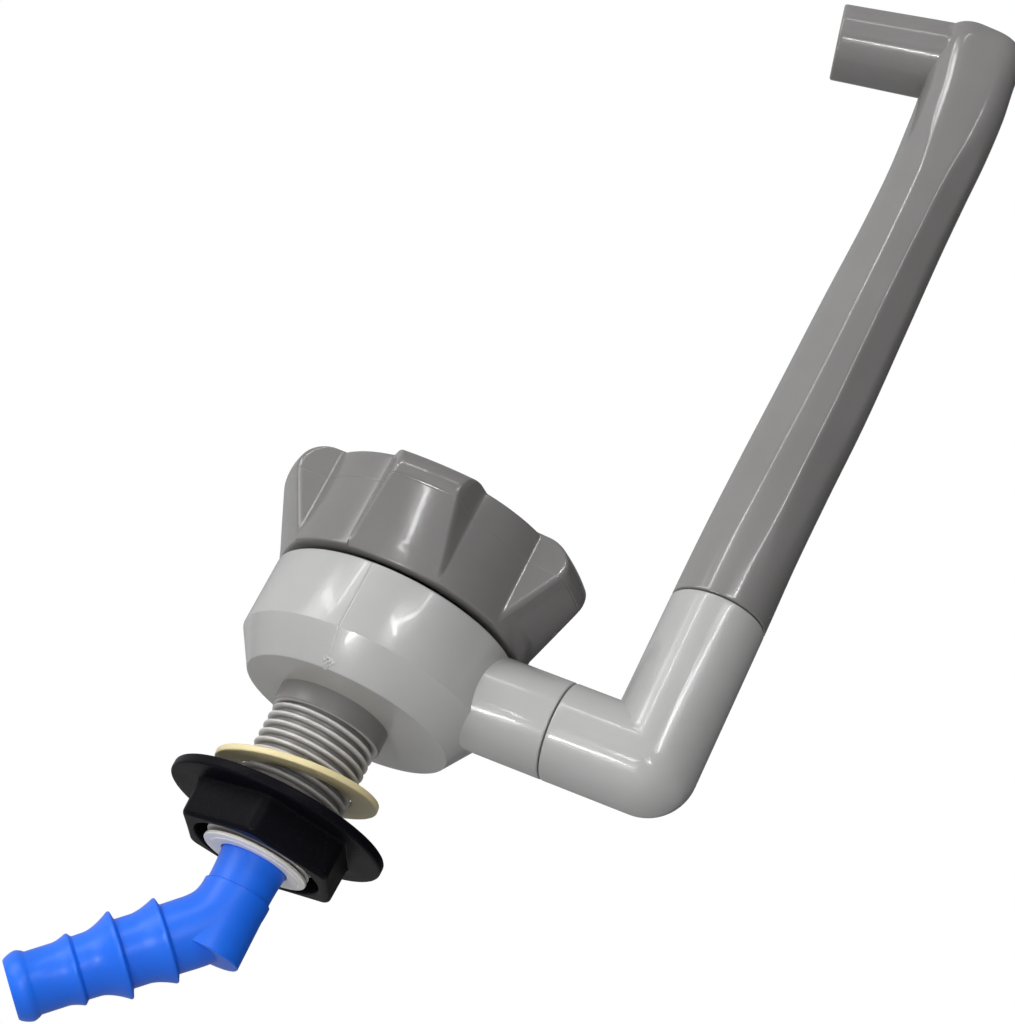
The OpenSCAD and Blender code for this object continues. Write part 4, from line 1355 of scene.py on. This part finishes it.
@dataclass
class Studio:
    """Camera, pale floor, white surroundings and the lamps."""

    eye: Vector = (0.149855, -0.401451, -0.131932)
    right: Vector = (0.89825067, 0.11602198, 0.42389224)
    up: Vector = (-0.32274503, -0.4805207, 0.81543577)
    back: Vector = (0.29829747, -0.86927485, -0.39418253)
    lens: float = 84.457
    sensor: float = 36.0
    clip: tuple[float, float] = (0.01, 50.0)
    floor_z: float = -0.14
    floor_half: float = 4.0
    aim: Vector = (0.025, 0.0, 0.03)
    grey: float = 0.75
    dim: float = 0.03
    shading: tuple[float, float] = (0.15, 0.85)
    bright_side: Vector = (-0.88, 0.36, 0.20)
    soft_reach: float = 1.5
    soft: tuple[tuple[Vector, float, float], ...] = (
        ((-0.80, 0.5, 0.40), 1.1, 2.7), ((-0.1, 0.3, 1.0), 0.9, 0.3))
    strips: tuple[Strip, ...] = field(default_factory=lambda: (
        Strip("strip_body", (0.25, -0.925, 0.395), (0.42, -0.88, 0.33), 0.03, 34.0),
        Strip("strip_body_soft", (-0.72, -0.63, 0.38), (-0.52, -0.82, 0.32), 0.05, 12.0),
        Strip("strip_right", (0.33, -0.905, 0.37), (0.53, -0.795, 0.46), 0.025, 34.0),
        Strip("strip_right_high", (0.53, -0.795, 0.47), (0.60, -0.67, 0.74), 0.03, 20.0),
        Strip("strip_left", (-0.47, -0.785, 0.33), (-0.34, -0.735, 0.74), 0.03, 22.0),
        Strip("strip_arm", (-0.27, -0.735, 0.645), (-0.14, -0.75, 0.655), 0.03, 22.0),
        Strip("strip_top", (-0.05, -0.80, 0.78), (0.10, -0.72, 0.86), 0.03, 10.0),
        Strip("strip_low", (-0.035, -0.163, -0.125), (0.0, -0.21, -0.125), 0.010, 60.0),
        Strip("strip_front", (0.17, -0.648, -0.078), (0.24, -0.622, -0.108), 0.012, 110.0),
        Strip("strip_grip", (-0.018, -0.335, -0.128), (-0.03, -0.36, -0.10), 0.010, 34.0),
    ))

    def world(self) -> None:
        """Grey surroundings for light, white where the camera looks at them.

        The light's grey is a ramp on the cosine between the direction and the bright side.
        """
        world = bpy.data.worlds.new("studio_world")
        bpy.context.scene.world = world
        world.use_nodes = True
        tree = world.node_tree
        tree.nodes.clear()
        place = node(tree, "ShaderNodeTexCoord").outputs["Generated"]
        bright = tuple(self.from_camera(self.bright_side))
        toward = node(tree, "ShaderNodeVectorMath", {0: place, 1: bright}, operation="DOT_PRODUCT")
        share = node(tree, "ShaderNodeMapRange", {"Value": toward.outputs["Value"], "From Min": -1.0})
        levels = ((self.dim,) * 3, (self.grey,) * 3)
        grey = ramp(tree, share.outputs["Result"], list(zip(self.shading, levels)))
        lit = node(tree, "ShaderNodeBackground", {"Color": grey, "Strength": 1.0})
        seen = node(tree, "ShaderNodeBackground", {"Color": (1.0, 1.0, 1.0, 1.0)})
        mix = node(tree, "ShaderNodeMixShader", {
            0: node(tree, "ShaderNodeLightPath").outputs["Is Camera Ray"],
            1: lit.outputs["Background"], 2: seen.outputs["Background"]})
        node(tree, "ShaderNodeOutputWorld", {"Surface": mix.outputs["Shader"]})

    def floor(self) -> None:
        """Plain pale floor that keeps the tap's shadow."""
        size = self.floor_half
        mesh = bpy.data.meshes.new("studio_floor")
        edges = ((-size, -size), (size, -size), (size, size), (-size, size))
        mesh.from_pydata([(x, y, self.floor_z) for x, y in edges], [], [(0, 1, 2, 3)])
        made = bpy.data.objects.new("studio_floor", mesh)
        bpy.context.scene.collection.objects.link(made)
        finish = Finish("pale_floor", (0.8, 0.8, 0.8), (0.78, 0.78, 0.78), roughness=0.7, cloud_scale=3.0,
                        grain_depth=0.0, wave_depth=0.0)
        mesh.materials.append(finish.material())

    def lamp(self, name: str, place: Array, along: Array, size: tuple[float, float], radiance: float) -> None:
        """Area lamp that faces the tap, as bright in every direction.

        Its power is the radiance times pi times its area.

        Args:
            name: Lamp's name.
            place: Its centre in metres.
            along: Direction of its long side, kept exactly.
            size: Long and short side in metres.
            radiance: Brightness of its face.
        """
        data = bpy.data.lights.new(name, "AREA")
        data.shape, data.size, data.size_y = "RECTANGLE", size[0], size[1]
        data.energy = radiance * math.pi * size[0] * size[1]
        side = unit(along)
        away = np.asarray(place) - np.asarray(self.aim)
        facing = unit(away - side * (away @ side))
        made = self._placed(name, data, (side, np.cross(facing, side), facing), place)
        made.visible_camera = False

    @staticmethod
    def _placed(name: str, data: object, axes: object, place: object) -> bpy.types.Object:
        """New object of a lamp or camera.

        Args:
            name: Object's name.
            data: Lamp or camera.
            axes: Directions of its right, up and back.
            place: Its place in metres.

        Returns:
            The object.
        """
        made = bpy.data.objects.new(name, data)
        grid = np.eye(4)
        grid[:3, :3], grid[:3, 3] = np.stack([np.asarray(axis) for axis in axes], 1), place
        made.matrix_world = Matrix(grid.tolist())
        bpy.context.scene.collection.objects.link(made)
        return made

    def from_camera(self, direction: object) -> Array:
        """Direction given as right, up and back of the camera, in the tap's frame."""
        r, u, b = direction
        return unit(r * np.asarray(self.right) + u * np.asarray(self.up) + b * np.asarray(self.back))

    def lamps(self) -> None:
        """Long strips for the thin highlights and broad soft lamps for the shading."""
        for strip in self.strips:
            start, end = np.asarray(strip.start), np.asarray(strip.end)
            length = float(np.linalg.norm(end - start))
            self.lamp(strip.name, (start + end) / 2.0, end - start, (length, strip.width), strip.radiance)
        for number, (direction, size, radiance) in enumerate(self.soft):
            place = np.asarray(self.aim) + self.soft_reach * self.from_camera(direction)
            self.lamp(f"soft_{number}", place, np.asarray(self.right), (size, size), radiance)

    def camera(self) -> None:
        """Camera in front of the tap, a little below it."""
        data = bpy.data.cameras.new("view")
        data.lens, data.sensor_width, data.sensor_fit = self.lens, self.sensor, "AUTO"
        data.clip_start, data.clip_end = self.clip
        axes = (self.right, self.up, self.back)
        bpy.context.scene.camera = self._placed("view", data, axes, self.eye)


# ----------------------------------------------------------------------- main

KEPT_NODES = {
    Slot.WHITE: ("bonnet", "plunger"),
    Slot.RUBBER: ("bonnet_oring", "spindle_oring", "seat_washer", "elbow_orings", "spout_orings",
                  "hose_orings"),
    Slot.BRASS: ("spindle",),
    Slot.STEEL: ("spindle_clip", "knob_screw", "washer_screw", "elbow_clip", "spout_clip"),
}


def corners(box: object) -> list[list[float]]:
    """Lowest and highest corner as plain lists."""
    return [[float(v) for v in corner] for corner in box]


def main() -> None:
    """Builds the tap piece by piece, then the studio round it."""
    logging.basicConfig(level=logging.INFO, format="%(message)s")
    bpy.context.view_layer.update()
    bpy.context.scene.view_settings.view_transform = "Standard"
    look = Look()
    for piece in (TapBody(), GateMark(), Knob(), KnobCap(), Elbow(), Spout(), ThreadedTail(),
                  RetainingRing(), ClampWasher(), ClampNut(), HoseElbow()):
        piece.build(look)
    for slot, cad_nodes in KEPT_NODES.items():
        for cad_node in cad_nodes:
            look.dress_node(cad_node, slot)
            log.info("%s: CAD node dressed as %s", cad_node, slot.value)
    studio = Studio()
    studio.world()
    studio.floor()
    studio.lamps()
    studio.camera()


if __name__ == "__main__":
    main()
